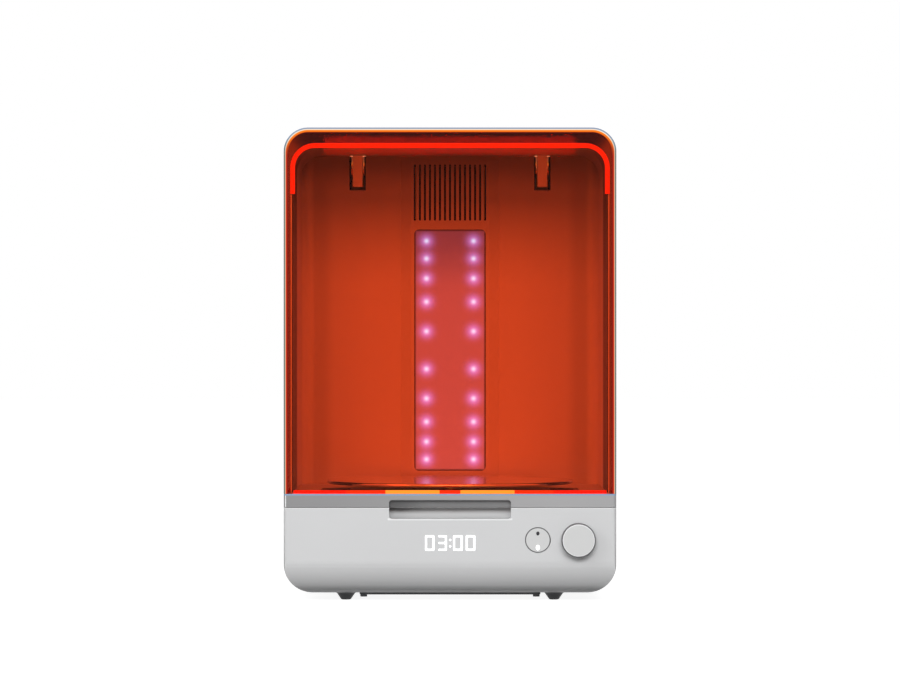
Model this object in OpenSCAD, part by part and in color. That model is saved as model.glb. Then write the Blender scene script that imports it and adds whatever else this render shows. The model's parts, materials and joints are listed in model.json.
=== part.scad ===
// Bench-top curing unit for dental models: a lift-up tinted hood over a heated, mirror-lined chamber with a
// turntable, a base with the controls, and a rear housing that holds the lamps and the hood's friction hinge.
// Millimetres. The origin is on the table under the middle of the outer box: +X right, +Y to the back, +Z up.

/* [Overall] */
// Outer width of the casing
body_w = 271; // [266:1:285]
// Depth of the casing from its front face to its rear cover
body_d = 270; // [266:1:285]
// Height from the table to the top of the hood
total_h = 386.7; // [383:0.1:400]

/* [Base] */
// Height of the line where the hood meets the base
base_top = 77.1; // [75:0.1:80]
// Gap between the table and the underside of the base
base_lift = 6.5; // [6:0.1:7.5]
// Wall of the base moulding
base_wall = 3; // [2.6:0.1:3.4]
// Radius of the lower side edges, seen from the front
side_round = 25; // [22:1:30]
// Radius of the lower front edge, seen from the side
front_round = 28; // [22:1:30]
// Radius of the lower rear edge
rear_round = 12; // [10:1:16]
// Radius of the upright corners
corner_round = 3; // [2:0.5:4]
// Distance of the feet from the middle, left and right
foot_x = 85.7; // [84:0.5:90]
// Radius of a foot where it meets the base
foot_top_r = 9.5; // [8:0.5:10]
// Radius of a foot where it meets the table
foot_tip_r = 3.6; // [3:0.2:5]

/* [Finger pull] */
// Width of the finger pull
pull_w = 99.2; // [80:1:110]
// Height of the scoop below the hood line
scoop_h = 9; // [8:0.5:10]
// Depth of the scoop
scoop_d = 14; // [12:0.5:15]
// Height of the recess in the hood's band above the hood line
lip_h = 6.5; // [5:0.5:8]
// Depth of the recess in the hood's band
lip_d = 5; // [4:0.5:6]

/* [Controls] */
// Height of the controls' centre line above the table
control_z = 51; // [49:0.5:53]
// Distance between the centres of the start button and the knob
button_pitch = 33; // [30:0.5:36]
// Radius of the start button
button_r = 10.1; // [8:0.1:11]
// Travel of the start button
button_travel = 0.6; // [0.4:0.1:1]
// Distance of the knob's centre from the side of the casing
knob_in = 31; // [29.5:0.5:33]
// Radius of the knob
knob_r = 14; // [12:0.5:15]
// How far the knob stands out of the front
knob_proud = 9; // [8:0.5:11]
// Push travel of the knob
knob_travel = 0.6; // [0.4:0.1:0.8]
// Radius of the encoder's shaft
shaft_r = 3; // [2.5:0.1:3.2]

/* [Hood] */
// Wall of the acrylic hood
hood_wall = 3; // [2.6:0.1:3.4]
// Radius of the hood's upper side edges
hood_round = 20; // [16:1:24]
// Height of the grey band under the acrylic
band_h = 11; // [9:0.5:12]
// Gap between the hood and what lies beside it
hood_gap = 0.8; // [0.6:0.1:1]
// Gap between the closed hood and the base
seat_gap = 0.4; // [0.3:0.1:0.6]

/* [Hinge] */
// Distance of the hinge axis from the rear face
axis_from_rear = 13.5; // [13:0.1:14]
// Distance of the hinge axis below the top
axis_below_top = 24; // [23.6:0.1:24.4]
// Radius of the round edge where hood and rear housing meet
barrel_r = 26; // [25.8:0.1:26.4]
// Distance of the hinge arms from the middle
arm_x = 80.9; // [78:0.5:84]
// Thickness of a hinge arm
arm_w = 8.5; // [7:0.5:9]
// Free width on each side of a hinge arm in its slot
arm_gap = 2.9; // [2.7:0.1:3.4]
// Radius of the hinge pins
pin_r = 4; // [3.4:0.1:4.4]

/* [Chamber] */
// Depth of the room behind the chamber's back wall, for the lamps, fans and hinge
rear_room = 34.5; // [34:0.1:36]
// Distance of the liner's front rim from the front face
rim_d = 51; // [46:0.5:100]
// Thickness of the liner's sheet
liner_t = 1.5; // [1.2:0.1:1.6]
// Gap between the hood's ceiling and the liner
ceiling_gap = 7.6; // [7.2:0.1:8.2]
// How far the red seal runs down each side of the liner
seal_drop = 41.6; // [30:0.2:50]
// Width of the lamp window
window_w = 62.5; // [58:0.5:64]
// Lower end of the lamp window above the table
window_z0 = 99.2; // [97:0.1:103]
// Gap between the lamp window and the vent slots above it
window_gap = 7.8; // [7:0.1:12]
// Distance of a lamp column from the middle
lamp_x = 20.6; // [18:0.2:22]
// Number of vent slots in the back wall
vent_count = 15; // [11:2:15]
// Pitch of the vent slots
vent_pitch = 4.39; // [4:0.05:4.5]
// Width of a vent slot
vent_w = 1.8; // [1.4:0.1:2.2]
// Length of a vent slot
vent_len = 49.3; // [44:0.1:50]

/* [Turntable] */
// Gap between the turntable's edge and the hood in front of it
table_front_gap = 13.5; // [12.5:0.5:20]
// Gap between the turntable's edge and the chamber's back wall
table_back_gap = 11; // [10:0.5:20]
// Thickness of the turntable
table_t = 3; // [2.5:0.1:3.5]
// Height of the turntable's underside above the floor
table_lift = 5.2; // [5:0.1:6.5]
// Radius of the turntable's spindle
spindle_r = 4; // [3.5:0.1:4.5]

/* [Rear] */
// Wall of the rear housing
housing_wall = 2.5; // [2.2:0.1:2.8]
// Thickness of the chassis plate
plate_t = 2; // [1.6:0.1:2.4]
// Height of the mains inlet's centre above the table
inlet_z = 45; // [41:0.5:48]
// Distance of the mains inlet's centre from the side of the casing
inlet_in = 47.5; // [44:0.5:52]
// Distance between the centres of the mains inlet and the power switch
switch_pitch = 40; // [38:0.5:44]

/* [Hidden] */

$fn = 64;

// Clearances between a bore and its shaft, and between fixed pieces
run_gap = 0.05;
fit_gap = 0.15;
// Reach of a cut past the surface it opens
past = 1;

// Main planes
half_w = body_w / 2;
front_y = knob_proud - (body_d + knob_proud) / 2;
rear_y = front_y + body_d;
inner_w = half_w - base_wall;
side_w = half_w - hood_wall - hood_gap;
knob_x = half_w - knob_in;
button_x = knob_x - button_pitch;
inlet_x = half_w - inlet_in;
switch_x = inlet_x - switch_pitch;
band_z = base_top + seat_gap;
hood_z = band_z + band_h;
ceiling_z = total_h - hood_wall;

// Hinge
axis_y = rear_y - axis_from_rear;
axis_z = total_h - axis_below_top;
split_gap = 0.5;
hood_end_y = axis_y - barrel_r;
housing_r = barrel_r - split_gap;
housing_y = hood_end_y + split_gap;
slot_w = arm_w + 2 * arm_gap;
slot_low_front = 10;
slot_low_rear = 13;
cheek_gap = 1.5;
cheek_t = 2.5;
cheek_in = arm_w / 2 + cheek_gap;
cheek_out = cheek_in + cheek_t;
bush_r = pin_r + 2;
boss_r = bush_r + 3;
arm_low = 15;
arm_tab = 58;
arm_foot_w = 24;
arm_foot_l = 60;
arm_foot_t = 3;
web_low = 28;
hinge_screw_low = 20;
hinge_screw_out = cheek_out + 5.5;
cheek_back = 10;
cheek_top = 12;
tab_gap = 0.7;
friction_r = 10;
friction_l = 21;
friction_nose = 2;

// Chamber floor
floor_z = hood_z - 0.8;
floor_t = 2.5;
rail_t = 1.5;
rail_h = 2.8;
rail_low = 4;
rail_in = 5;
lip_over = 3;
floor_front = front_y + hood_wall + rail_t + hood_gap;
ledge_z = base_top - 2.4;
ledge_w = 6;
ledge_t = 3;
lip_strip_in = 8.5;
lip_strip_d = 3;
magnet_r = 3;
magnet_y = front_y + scoop_d - 3.9;
magnet_z = base_top + 5.6;
notch_w = pull_w / 2 + lip_over + hood_gap;
notch_y = front_y + scoop_d + 3.8;
vent_x0 = 84.4;
vent_x1 = 108.4;
vent_y0 = -70;
vent_y1 = 12;
vent_rim = 3;
floor_slot_w = 2.4;
floor_slot_pitch = 5.6;
floor_slot_edge = 7;

// Chamber
wall_y = rear_y - rear_room;
rim_y = front_y + rim_d;
liner_top = ceiling_z - ceiling_gap;
liner_round = hood_round;
cove_r = 13;
plate_y = wall_y + liner_t;
plate_back = plate_y + plate_t;
pad_w = 43;
pad_flat = 34;
pad_rise = 1;
vent_top_gap = 8.7;
vent_z1 = liner_top - vent_top_gap;
vent_z0 = vent_z1 - vent_len;
slot_z0 = axis_z - 18;
window_z1 = vent_z0 - window_gap;
window_r = 4;
seal_t = 4;
seal_d = 6;
seal_end_z = liner_top - seal_drop;
table_r = (wall_y - table_back_gap - front_y - hood_wall - table_front_gap) / 2;
table_y = wall_y - table_back_gap - table_r;

// Lamps, in two mirrored columns. Each step is a share of half the window's height, from its middle
lamp_steps = [0.156, 0.401, 0.594, 0.759, 0.905];
lamp_mid = (window_z0 + window_z1) / 2;
lamp_half = (window_z1 - window_z0) / 2;
lamp_size = 6;
lamp_t = 2;
flange_t = 1.2;
flange_w = 3;
lamp_y = plate_back + flange_t + 0.5;
board_y = lamp_y + lamp_t;
board_t = 1.6;
sink_y = board_y + board_t;
sink_base = 4;
sink_over = 2;
sink_screw_in = 15.5;
fin_d = 8;
fin_t = 1.5;
fin_pitch = 5.6;
lug_in = window_w / 2 + flange_w + 1.25;
lug_w = 8;
sink_w = lug_in + lug_w;
sink_h = window_z1 - window_z0 + 2 * sink_over;

// Fans
fan_size = 60;
fan_r = 28;
heater_t = 10;
heater_h = vent_z1 - vent_z0 + 8;
heater_w = 72;
fan_t = 15;
exhaust_t = 10;
heater_z = (vent_z0 + vent_z1) / 2;
fan_y = plate_back + heater_t;
cover_t = 2.5;
cover_y = rear_y - cover_t;
exhaust_y = cover_y - exhaust_t;
exhaust_z = lamp_mid;
fan_hole = fan_size / 2 - 5;
cover_top = axis_z + 11;
cover_low = base_top + 3;
strip_w = 12;
grille_r = fan_r - 2;
grille_pitch = 5.2;
grille_w = 3;
intake_z = cover_low + 18.6;
intake_h = 16;
intake_pitch = 8;

// Controls, measured back from the front face
panel_in = front_y + base_wall;
board_front = front_y + 12.5;
pcb_t = 1.6;
display_x0 = -35;
display_over = 17.5;
display_low = 20;
display_high = 13;
display_screw_l = 7;
rest_gap = 0.3;
button_gap = 0.35;
button_len = 6.8;
button_wall = 1.5;
button_lap = 1.6;
button_flange = 1.2;
button_seat = front_y + button_len - button_flange - rest_gap;
boss_end = board_front - 1.5;
stem_r = 2.5;
digit_x = [-15.7, -4.1, 6.6, 17.2];
digit_w = 6.4;
digit_line = 1.6;
digit_drop = 2.4;
light_well = 6;
guide_edge = 7.6;
guide_h = 18;
button_mark = 5.3;
button_lamp = 6.3;
switch_h = 2.4;
switch_tip = board_front - switch_h - 1;
knob_web = 2.5;
knob_back = front_y - knob_travel - 0.4;
slider_y = front_y + 8;
slider_t = 1.2;

// Mains inlet and power switch
inlet_blades = [[-7, -3], [7, -3], [0, 2.6]];
blade_w = 2;
blade_h = 4;
rocker_y = rear_y - 6.5;

// Screws and their heads
m3_r = 1.5;
m3_head_r = 2.8;
m3_head_h = 1.8;
flush_head = 0.9;

// Base inside
cover_half = foot_x - foot_top_r - 1.7;
cover_y0 = front_y + front_round + 4;
cover_y1 = rear_y - rear_round - 14;
cover_lap = 7;
cover_sheet = 2;
cover_z = base_lift - cover_sheet;
post_h = 8;
board_x = 3;
board_w = 62;
board_l = 152;
supply_x = -4;
supply_w = 60;
supply_l = 148;
supply_h = 32;
motor_r = 25;
motor_h = 20;
motor_top = floor_z - floor_t - 6.5;
foot_front = front_y + front_round + 12.5;
foot_rear = rear_y - rear_round - 12.5;
column_x = half_w - 9.5;
column_y = rear_y - 16.5;
column_seat = 14;
edge_screw_in = 9;
plate_screw_z0 = base_top + 37.6;
plate_screw_z1 = axis_z - 24;

// An outline drawn in X and Z, carried from y0 to y1
module along_y(y0, y1) {
    translate([0, y1, 0]) rotate([90, 0, 0]) linear_extrude(y1 - y0) children();
}

// An outline drawn in Y and Z, carried from x0 to x1
module along_x(x0, x1) {
    translate([x0, 0, 0]) rotate([90, 0, 90]) linear_extrude(x1 - x0) children();
}

// A rectangle with its own radius at each corner: lower left, lower right, upper right, upper left
module rounded(x0, y0, x1, y1, ll = 0, lr = 0, ur = 0, ul = 0) {
    polygon(concat(
        ll > 0 ? [[x0, y0 + ll], [x0 + ll, y0]] : [[x0, y0]],
        lr > 0 ? [[x1 - lr, y0], [x1, y0 + lr]] : [[x1, y0]],
        ur > 0 ? [[x1, y1 - ur], [x1 - ur, y1]] : [[x1, y1]],
        ul > 0 ? [[x0 + ul, y1], [x0, y1 - ul]] : [[x0, y1]]
    ));
    if (ll > 0) translate([x0 + ll, y0 + ll]) circle(ll);
    if (lr > 0) translate([x1 - lr, y0 + lr]) circle(lr);
    if (ur > 0) translate([x1 - ur, y1 - ur]) circle(ur);
    if (ul > 0) translate([x0 + ul, y1 - ul]) circle(ul);
}

// A slot with round ends, standing from y0 to y1
module slot(w, y0, y1) {
    translate([-w / 2, y0 + w / 2]) square([w, y1 - y0 - w]);
    translate([0, y0 + w / 2]) circle(w / 2);
    translate([0, y1 - w / 2]) circle(w / 2);
}

// An arch standing on z = foot, as seen from the front
module arch(half, foot, top, r) {
    rounded(-half, foot, half, top, 0, 0, r, r);
}

// A copy on the left and on the right
module both_sides() {
    children();
    mirror([1, 0, 0]) children();
}

// Axes: a round bar or bore along Y, and along X
module bar_y(r, y0, y1) {
    translate([0, y0, 0]) rotate([-90, 0, 0]) cylinder(y1 - y0, r, r);
}
module bar_x(r, x0, x1) {
    translate([x0, 0, 0]) rotate([0, 90, 0]) cylinder(x1 - x0, r, r);
}

// A pan-head screw with a hexagon socket. Its shank runs along +Z from the seat of the head
module screw(len, r = m3_r, head_r = m3_head_r, head_h = m3_head_h) {
    difference() {
        union() {
            cylinder(len, r, r);
            translate([0, 0, -head_h]) cylinder(head_h, head_r, head_r);
        }
        translate([0, 0, -head_h - past]) cylinder(head_h * 0.6 + past, r * 0.8, r * 0.8, $fn = 6);
    }
}

// The base's outer form, or its inner one when set in by a wall
module base_form(set_in) {
    top = base_top + (set_in > 0 ? past : 0);
    upright = set_in > 0 ? 1 : corner_round;
    intersection() {
        along_y(front_y + set_in, rear_y - set_in)
            rounded(-half_w + set_in, base_lift + set_in, half_w - set_in, top,
                side_round - set_in, side_round - set_in);
        along_x(-half_w, half_w)
            rounded(front_y + set_in, base_lift + set_in, rear_y - set_in, top + past,
                front_round - set_in, rear_round - set_in);
        linear_extrude(top + past)
            rounded(-half_w + set_in, front_y + set_in, half_w - set_in, rear_y - set_in,
                upright, upright, upright, upright);
    }
}

// The hollow under the hood's lip that the fingers reach into
module scoop() {
    intersection() {
        along_x(-half_w, half_w) union() {
            translate([front_y - past, base_top - scoop_h])
                square([scoop_d - scoop_h + past, scoop_h + past]);
            translate([front_y - past, base_top]) square([scoop_d + past, past]);
            translate([front_y + scoop_d - scoop_h, base_top]) circle(scoop_h);
        }
        along_y(front_y - past, front_y + scoop_d + past)
            rounded(-pull_w / 2, base_top - scoop_h, pull_w / 2, base_top + past, 2.5, 2.5);
    }
}

// Places that several pieces share
display_posts = [
    [display_x0 + 4, 5 - display_low], [display_x0 + 4, display_high - 4],
    [knob_x + display_over - 4, 3 - display_low], [knob_x + display_over - 34, display_high - 4]
];
housing_columns = [[column_x, column_y], [-column_x, column_y]];
cover_screws = [
    for (x = [-1, 1], y = [cover_y0 + cover_lap / 2, (cover_y0 + cover_y1) / 2, cover_y1 - cover_lap / 2])
        [x * (cover_half - cover_lap / 2), y]
];
board_posts = [
    for (x = [board_x + 5, board_x + board_w - 5], y = [6 - board_l / 2, board_l / 2 - 6]) [x, y]
];
plate_screws = [
    for (x = [-1, 1], i = [0:3])
        [x * (half_w - edge_screw_in), plate_screw_z0 + i * (plate_screw_z1 - plate_screw_z0) / 3]
];
rear_screws = [
    for (x = [-1, 1], z = [cover_low + 12, (cover_low + cover_top) / 2, cover_top - 22])
        [x * (half_w - edge_screw_in), z]
];
sink_screws = [
    for (x = [-1, 1], i = [-1:1]) [x * (lug_in + lug_w / 2), lamp_mid + i * (lamp_half - sink_screw_in)]
];

// What stands inside the base moulding: ledges, scoop block, posts and columns
module base_features() {
    both_sides() translate([inner_w - ledge_w, floor_front, ledge_z - ledge_t])
        cube([ledge_w + past, plate_y - floor_front - 4, ledge_t]);
    translate([-pull_w / 2 - 3, front_y, base_top - scoop_h - 3])
        cube([pull_w + 6, scoop_d + 3, scoop_h + 3]);
    for (p = display_posts) translate([p.x, 0, control_z + p.y]) bar_y(3.5, front_y, board_front);
    translate([button_x, 0, control_z]) difference() {
        bar_y(button_r + button_lap + 3.6, front_y, boss_end);
        bar_y(button_r + button_lap + 0.6, button_seat, boss_end + past);
    }
    for (p = housing_columns) translate([p.x, p.y, 0]) cylinder(base_top, 5, 5);
}

module base_shell() color("#d0d1d2") difference() {
    base_form(0);
    difference() {
        base_form(base_wall);
        base_features();
    }
    scoop();
    translate([button_x, 0, control_z]) bar_y(button_r + button_gap, front_y - past, button_seat + past);
    translate([knob_x, 0, control_z]) bar_y(shaft_r + 2.1, front_y - past, panel_in + past);
    for (p = display_posts) translate([p.x, 0, control_z + p.y]) bar_y(1.2, panel_in + 1, board_front + past);
    translate([0, 0, base_lift - past]) linear_extrude(base_wall + 2 * past)
        rounded(-cover_half + cover_lap, cover_y0 + cover_lap, cover_half - cover_lap, cover_y1 - cover_lap,
            4, 4, 4, 4);
    for (p = cover_screws) translate([p.x, p.y, base_lift - past]) cylinder(base_wall + 2 * past, 1.6, 1.6);
    for (x = [-foot_x, foot_x], y = [foot_front, foot_rear])
        translate([x, y, base_lift - past]) cylinder(base_wall + 2 * past, 2.6, 2.6);
    for (p = housing_columns) translate([p.x, p.y, 0]) {
        cylinder(base_top + past, 1.7, 1.7);
        cylinder(base_top - column_seat, 3.2, 3.2);
    }
    along_y(rear_y - base_wall - past, rear_y + past)
        rounded(inlet_x - 15, inlet_z - 13, inlet_x + 15, inlet_z + 13, 2, 2, 2, 2);
    along_y(rear_y - base_wall - past, rear_y + past)
        rounded(switch_x - 8, inlet_z - 12, switch_x + 8, inlet_z + 12, 1.5, 1.5, 1.5, 1.5);
}

module bottom_cover() color("#8c8f92") difference() {
    union() {
        translate([0, 0, cover_z]) linear_extrude(cover_sheet)
            rounded(-cover_half, cover_y0, cover_half, cover_y1, 6, 6, 6, 6);
        for (p = board_posts) translate([p.x, p.y, base_lift]) cylinder(post_h, 3, 3);
    }
    for (p = cover_screws) translate([p.x, p.y, cover_z - past]) cylinder(cover_sheet + 2 * past, 1.7, 1.7);
    for (p = board_posts) translate([p.x, p.y, base_lift + 1]) cylinder(post_h, 1.2, 1.2);
    for (row = [0:1], i = [0:8]) translate([-48 + i * 12, row == 0 ? -40 : 45, cover_z - past])
        linear_extrude(cover_sheet + 2 * past) slot(3, -18, 18);
}

module bottom_cover_screws() color("#b9bcc0")
    for (p = cover_screws) translate([p.x, p.y, cover_z]) screw(cover_sheet + base_wall - 0.4);

// Each foot narrows towards the table, and its stem sits in the base
module rubber_foot() {
    rotate_extrude() polygon([
        [0, 0], [foot_tip_r, 0], [foot_tip_r + 0.6, 0.5], [foot_top_r - 2, base_lift - 1.2],
        [foot_top_r, base_lift - 0.3], [foot_top_r, base_lift], [0, base_lift]
    ]);
    translate([0, 0, base_lift]) cylinder(base_wall, 2.5, 2.5);
}

module rubber_feet() color("#2b2c2e")
    for (x = [-foot_x, foot_x], y = [foot_front, foot_rear]) translate([x, y, 0]) rubber_foot();

// Plan of the chamber floor, with the notch for the hood's lip
module floor_plan(set_in) {
    difference() {
        rounded(-side_w + set_in, floor_front + set_in, side_w - set_in, plate_y - fit_gap - set_in,
            max(corner_round - set_in, 0), max(corner_round - set_in, 0));
        translate([-notch_w - set_in, floor_front - past])
            square([2 * (notch_w + set_in), notch_y - floor_front + past + set_in]);
    }
}

module vent_plan(grow, x0 = vent_x0, x1 = vent_x1, y0 = vent_y0, y1 = vent_y1) {
    rounded(x0 - grow, y0 - grow, x1 + grow, y1 + grow, 2, 2, 2, 2);
}

module chamber_floor() color("#c9ccce") difference() {
    translate([0, 0, ledge_z]) linear_extrude(floor_z - ledge_z) floor_plan(0);
    translate([0, 0, ledge_z - past]) linear_extrude(floor_z - floor_t - ledge_z + past) floor_plan(floor_t);
    translate([0, table_y, ledge_z]) cylinder(floor_z, spindle_r + 2 + fit_gap, spindle_r + 2 + fit_gap);
    both_sides() {
        translate([0, 0, floor_z - liner_t]) linear_extrude(liner_t + past) vent_plan(fit_gap);
        translate([0, 0, ledge_z]) linear_extrude(floor_z) vent_plan(-vent_rim);
    }
}

module floor_vent() difference() {
    translate([0, 0, floor_z - liner_t]) linear_extrude(liner_t) vent_plan(0);
    for (y = [vent_y0 + floor_slot_edge : floor_slot_pitch : vent_y1 - floor_slot_edge + 0.1])
        translate([(vent_x0 + vent_x1) / 2, y, floor_z - liner_t - past])
            rotate([0, 0, 90]) linear_extrude(liner_t + 2 * past)
                slot(floor_slot_w, (vent_x0 - vent_x1) / 2 + 3.5, (vent_x1 - vent_x0) / 2 - 3.5);
}

module floor_vent_right() color("#5b5e61") floor_vent();
module floor_vent_left() color("#5b5e61") mirror([1, 0, 0]) floor_vent();

// The upright steel plate that carries the liner, the lamps, the hinge and the fans
module chassis_plate() color("#9aa0a5") difference() {
    along_y(plate_y, plate_back)
        rounded(-side_w + 0.6, base_top - 8, side_w - 0.6, liner_top - 5, 0, 0, 15, 15);
    lamp_opening(0);
    along_y(plate_y - past, plate_back + past)
        rounded(-33, vent_z0 - 2, 33, vent_z1 + 1.2, 2, 2, 2, 2);
    arm_slots(plate_y - past, plate_back + past);
    for (p = plate_screws) translate([p.x, 0, p.y]) bar_y(1.7, plate_y - past, plate_back + past);
    for (p = sink_screws) translate([p.x, 0, p.y]) bar_y(1.2, plate_y - past, plate_back + past);
    both_hinge_screws() bar_y(1.2, plate_y - past, plate_back + past);
}

// The hole for the lamp window, through liner and chassis plate
module lamp_opening(shrink) {
    along_y(wall_y - pad_rise - past, plate_back + past)
        rounded(-window_w / 2 + shrink, window_z0 + shrink, window_w / 2 - shrink, window_z1 - shrink,
            window_r - shrink, window_r - shrink, window_r - shrink, window_r - shrink);
}

// The slots that the hinge arms swing through
module arm_slots(y0, y1, low = slot_z0, high = total_h + past) {
    both_sides() translate([arm_x - slot_w / 2, y0, low]) cube([slot_w, y1 - y0, high - low]);
}

module both_hinge_screws() {
    both_sides() for (x = [-1, 1])
        translate([arm_x + x * hinge_screw_out, 0, axis_z - hinge_screw_low]) children();
}

module chassis_screws() color("#b9bcc0")
    for (p = plate_screws) translate([p.x, 0, p.y]) bar_y(m3_r, plate_y + 0.02, plate_back + 4);

// The folded mirror sheet: two sides, a ceiling and a back wall with a pressed pad
module liner_form() {
    intersection() {
        along_y(rim_y, plate_y) arch(side_w, floor_z, liner_top, liner_round);
        linear_extrude(total_h) rounded(-side_w, rim_y, side_w, plate_y, 0, 0, cove_r, cove_r);
    }
}

// What the liner is folded around: open below and in front
module liner_hollow() {
    intersection() {
        along_y(rim_y - past, wall_y)
            arch(side_w - liner_t, floor_z - past, liner_top - liner_t, liner_round - liner_t);
        linear_extrude(total_h) rounded(-side_w + liner_t, rim_y - past, side_w - liner_t, wall_y,
            0, 0, cove_r - liner_t, cove_r - liner_t);
    }
}

module chamber_liner() color("#c8cbce") difference() {
    difference() {
        liner_form();
        difference() {
            liner_hollow();
            linear_extrude(vent_z1 + 4) polygon([
                [-pad_w, wall_y + 0.5], [-pad_w, wall_y], [-pad_flat, wall_y - pad_rise],
                [pad_flat, wall_y - pad_rise], [pad_w, wall_y], [pad_w, wall_y + 0.5]
            ]);
        }
    }
    lamp_opening(0);
    for (i = [0:vent_count - 1]) translate([(i - (vent_count - 1) / 2) * vent_pitch, 0, 0])
        along_y(wall_y - pad_rise - past, plate_y + past) slot(vent_w, vent_z0, vent_z1);
    arm_slots(hood_end_y - 1.5, plate_y + past);
}

// A soft edge trim over the liner's front rim, across the top and part of the way down each side
module liner_seal() color("#c4201a") intersection() {
    difference() {
        along_y(rim_y - seal_t / 2, rim_y + seal_d)
            difference() {
                arch(side_w + 0.4, floor_z, liner_top + 0.4, liner_round + 0.4);
                arch(side_w + 0.4 - seal_t, floor_z - past, liner_top + 0.4 - seal_t,
                    liner_round + 0.4 - seal_t);
            }
        along_y(rim_y - 0.02, rim_y + seal_d + past)
            difference() {
                arch(side_w + 0.02, floor_z - past, liner_top + 0.02, liner_round + 0.02);
                arch(side_w - liner_t - 0.02, floor_z - 2 * past, liner_top - liner_t - 0.02,
                    liner_round - liner_t - 0.02);
            }
    }
    translate([-half_w, rim_y - 2 * seal_t, seal_end_z]) cube([body_w, 4 * seal_d, total_h - seal_end_z]);
}

// The rear housing's outer form, or its inner one: an arch whose top edges are round about the hinge axis
module housing_form(set_in) {
    low = base_top - (set_in > 0 ? past : 0);
    difference() {
        along_y(housing_y + set_in, rear_y - set_in)
            arch(half_w - set_in, low, total_h - set_in, hood_round - set_in);
        difference() {
            translate([-half_w - past, housing_y - past, axis_z])
                cube([body_w + 2 * past, rear_y - housing_y + 2 * past, total_h]);
            translate([0, axis_y, axis_z]) bar_x(housing_r - set_in, -half_w - 2 * past, half_w + 2 * past);
        }
    }
}

module rear_housing() color("#cfd0d1") difference() {
    union() {
        difference() {
            housing_form(0);
            housing_form(housing_wall);
            along_y(cover_y - past, rear_y + past)
                arch(half_w - housing_wall, cover_low, cover_top, hood_round - housing_wall);
            along_y(housing_y - past, plate_y)
                arch(side_w + 0.5, base_top - past, liner_top + 0.5, liner_round + 0.5);
        }
        both_sides() translate([half_w - housing_wall - strip_w, plate_back, base_top])
            cube([strip_w + 0.5, housing_wall, axis_z - 12 - base_top]);
        for (p = rear_screws) translate([p.x, 0, p.y]) bar_y(4.5, plate_back, cover_y);
        both_sides() translate([half_w - housing_wall - strip_w, plate_back, base_top])
            cube([strip_w + 0.5, 22, 4]);
    }
    arm_slots(housing_y - past, axis_y, axis_z + slot_low_front);
    arm_slots(axis_y - past, rear_y + past, axis_z + slot_low_rear);
    for (p = plate_screws) translate([p.x, 0, p.y]) bar_y(1.55, plate_y, plate_back + 4 + fit_gap);
    for (p = rear_screws) translate([p.x, 0, p.y]) bar_y(1.55, cover_y - 12, rear_y);
    for (p = housing_columns) translate([p.x, p.y, base_top - past]) cylinder(5 + past, 1.55, 1.55);
}

module housing_screws() color("#b9bcc0")
    for (p = housing_columns) translate([p.x, p.y, base_top - column_seat]) screw(column_seat + 3.6);

// A hole in the rear cover with a seat for a flush screw head
module cover_hole() {
    bar_y(1.7, cover_y - past, rear_y + past);
    bar_y(m3_head_r + fit_gap, rear_y - flush_head - 0.02, rear_y + past);
}

// Upright slots in the rear cover that fill a circle over a fan
module fan_grille(z) {
    for (i = [-4.5:4.5]) translate([i * grille_pitch, 0, z]) along_y(cover_y - past, rear_y + past)
        slot(grille_w, -sqrt(pow(grille_r, 2) - pow(i * grille_pitch, 2)),
            sqrt(pow(grille_r, 2) - pow(i * grille_pitch, 2)));
}

module rear_cover() color("#c4c6c8") difference() {
    along_y(cover_y, rear_y)
        arch(half_w - housing_wall - fit_gap, cover_low + fit_gap, cover_top - fit_gap,
            hood_round - housing_wall - fit_gap);
    for (p = rear_screws) translate([p.x, 0, p.y]) cover_hole();
    fan_grille(exhaust_z);
    fan_grille(heater_z);
    for (x = [-fan_hole, fan_hole], z = [-fan_hole, fan_hole])
        translate([x, 0, exhaust_z + z]) cover_hole();
    for (row = [0:2], i = [-5.5:5.5]) translate([i * intake_pitch, 0, intake_z + row * (intake_h + 6)])
        along_y(cover_y - past, rear_y + past) slot(grille_w, 0, intake_h);
}

module rear_cover_screws() color("#b9bcc0")
    for (p = rear_screws) translate([p.x, rear_y - flush_head, p.y]) rotate([90, 0, 0])
        screw(12, head_h = flush_head);

// The clear pane in front of the lamps, held by a flange behind the chassis plate
module lamp_window() color("#e8c0b0", 0.5) union() {
    intersection() {
        lamp_opening(fit_gap);
        translate([-half_w, wall_y - 0.6, 0]) cube([body_w, plate_back - wall_y + 0.6 + flange_t, total_h]);
    }
    along_y(plate_back, plate_back + flange_t)
        rounded(-window_w / 2 - flange_w, window_z0 - flange_w, window_w / 2 + flange_w,
            window_z1 + flange_w, 2, 2, 2, 2);
}

module lamp_board() color("#f0f0ee") difference() {
    along_y(board_y, sink_y)
        rounded(-lug_in + 0.4, window_z0 - sink_over, lug_in - 0.4, window_z1 + sink_over, 2, 2, 2, 2);
    for (i = [-1:1]) translate([0, 0, lamp_mid + i * (lamp_half - sink_screw_in)])
        bar_y(1.6, board_y - past, sink_y + past);
}

module lamps() color("#f6e27a")
    for (x = [-lamp_x, lamp_x], s = [-1, 1], share = lamp_steps)
        translate([x, 0, lamp_mid + s * share * lamp_half]) {
            translate([-lamp_size / 2, lamp_y + 0.7, -lamp_size / 2])
                cube([lamp_size, lamp_t - 0.7, lamp_size]);
            bar_y(lamp_size * 0.4, lamp_y, lamp_y + 0.7);
        }

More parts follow.
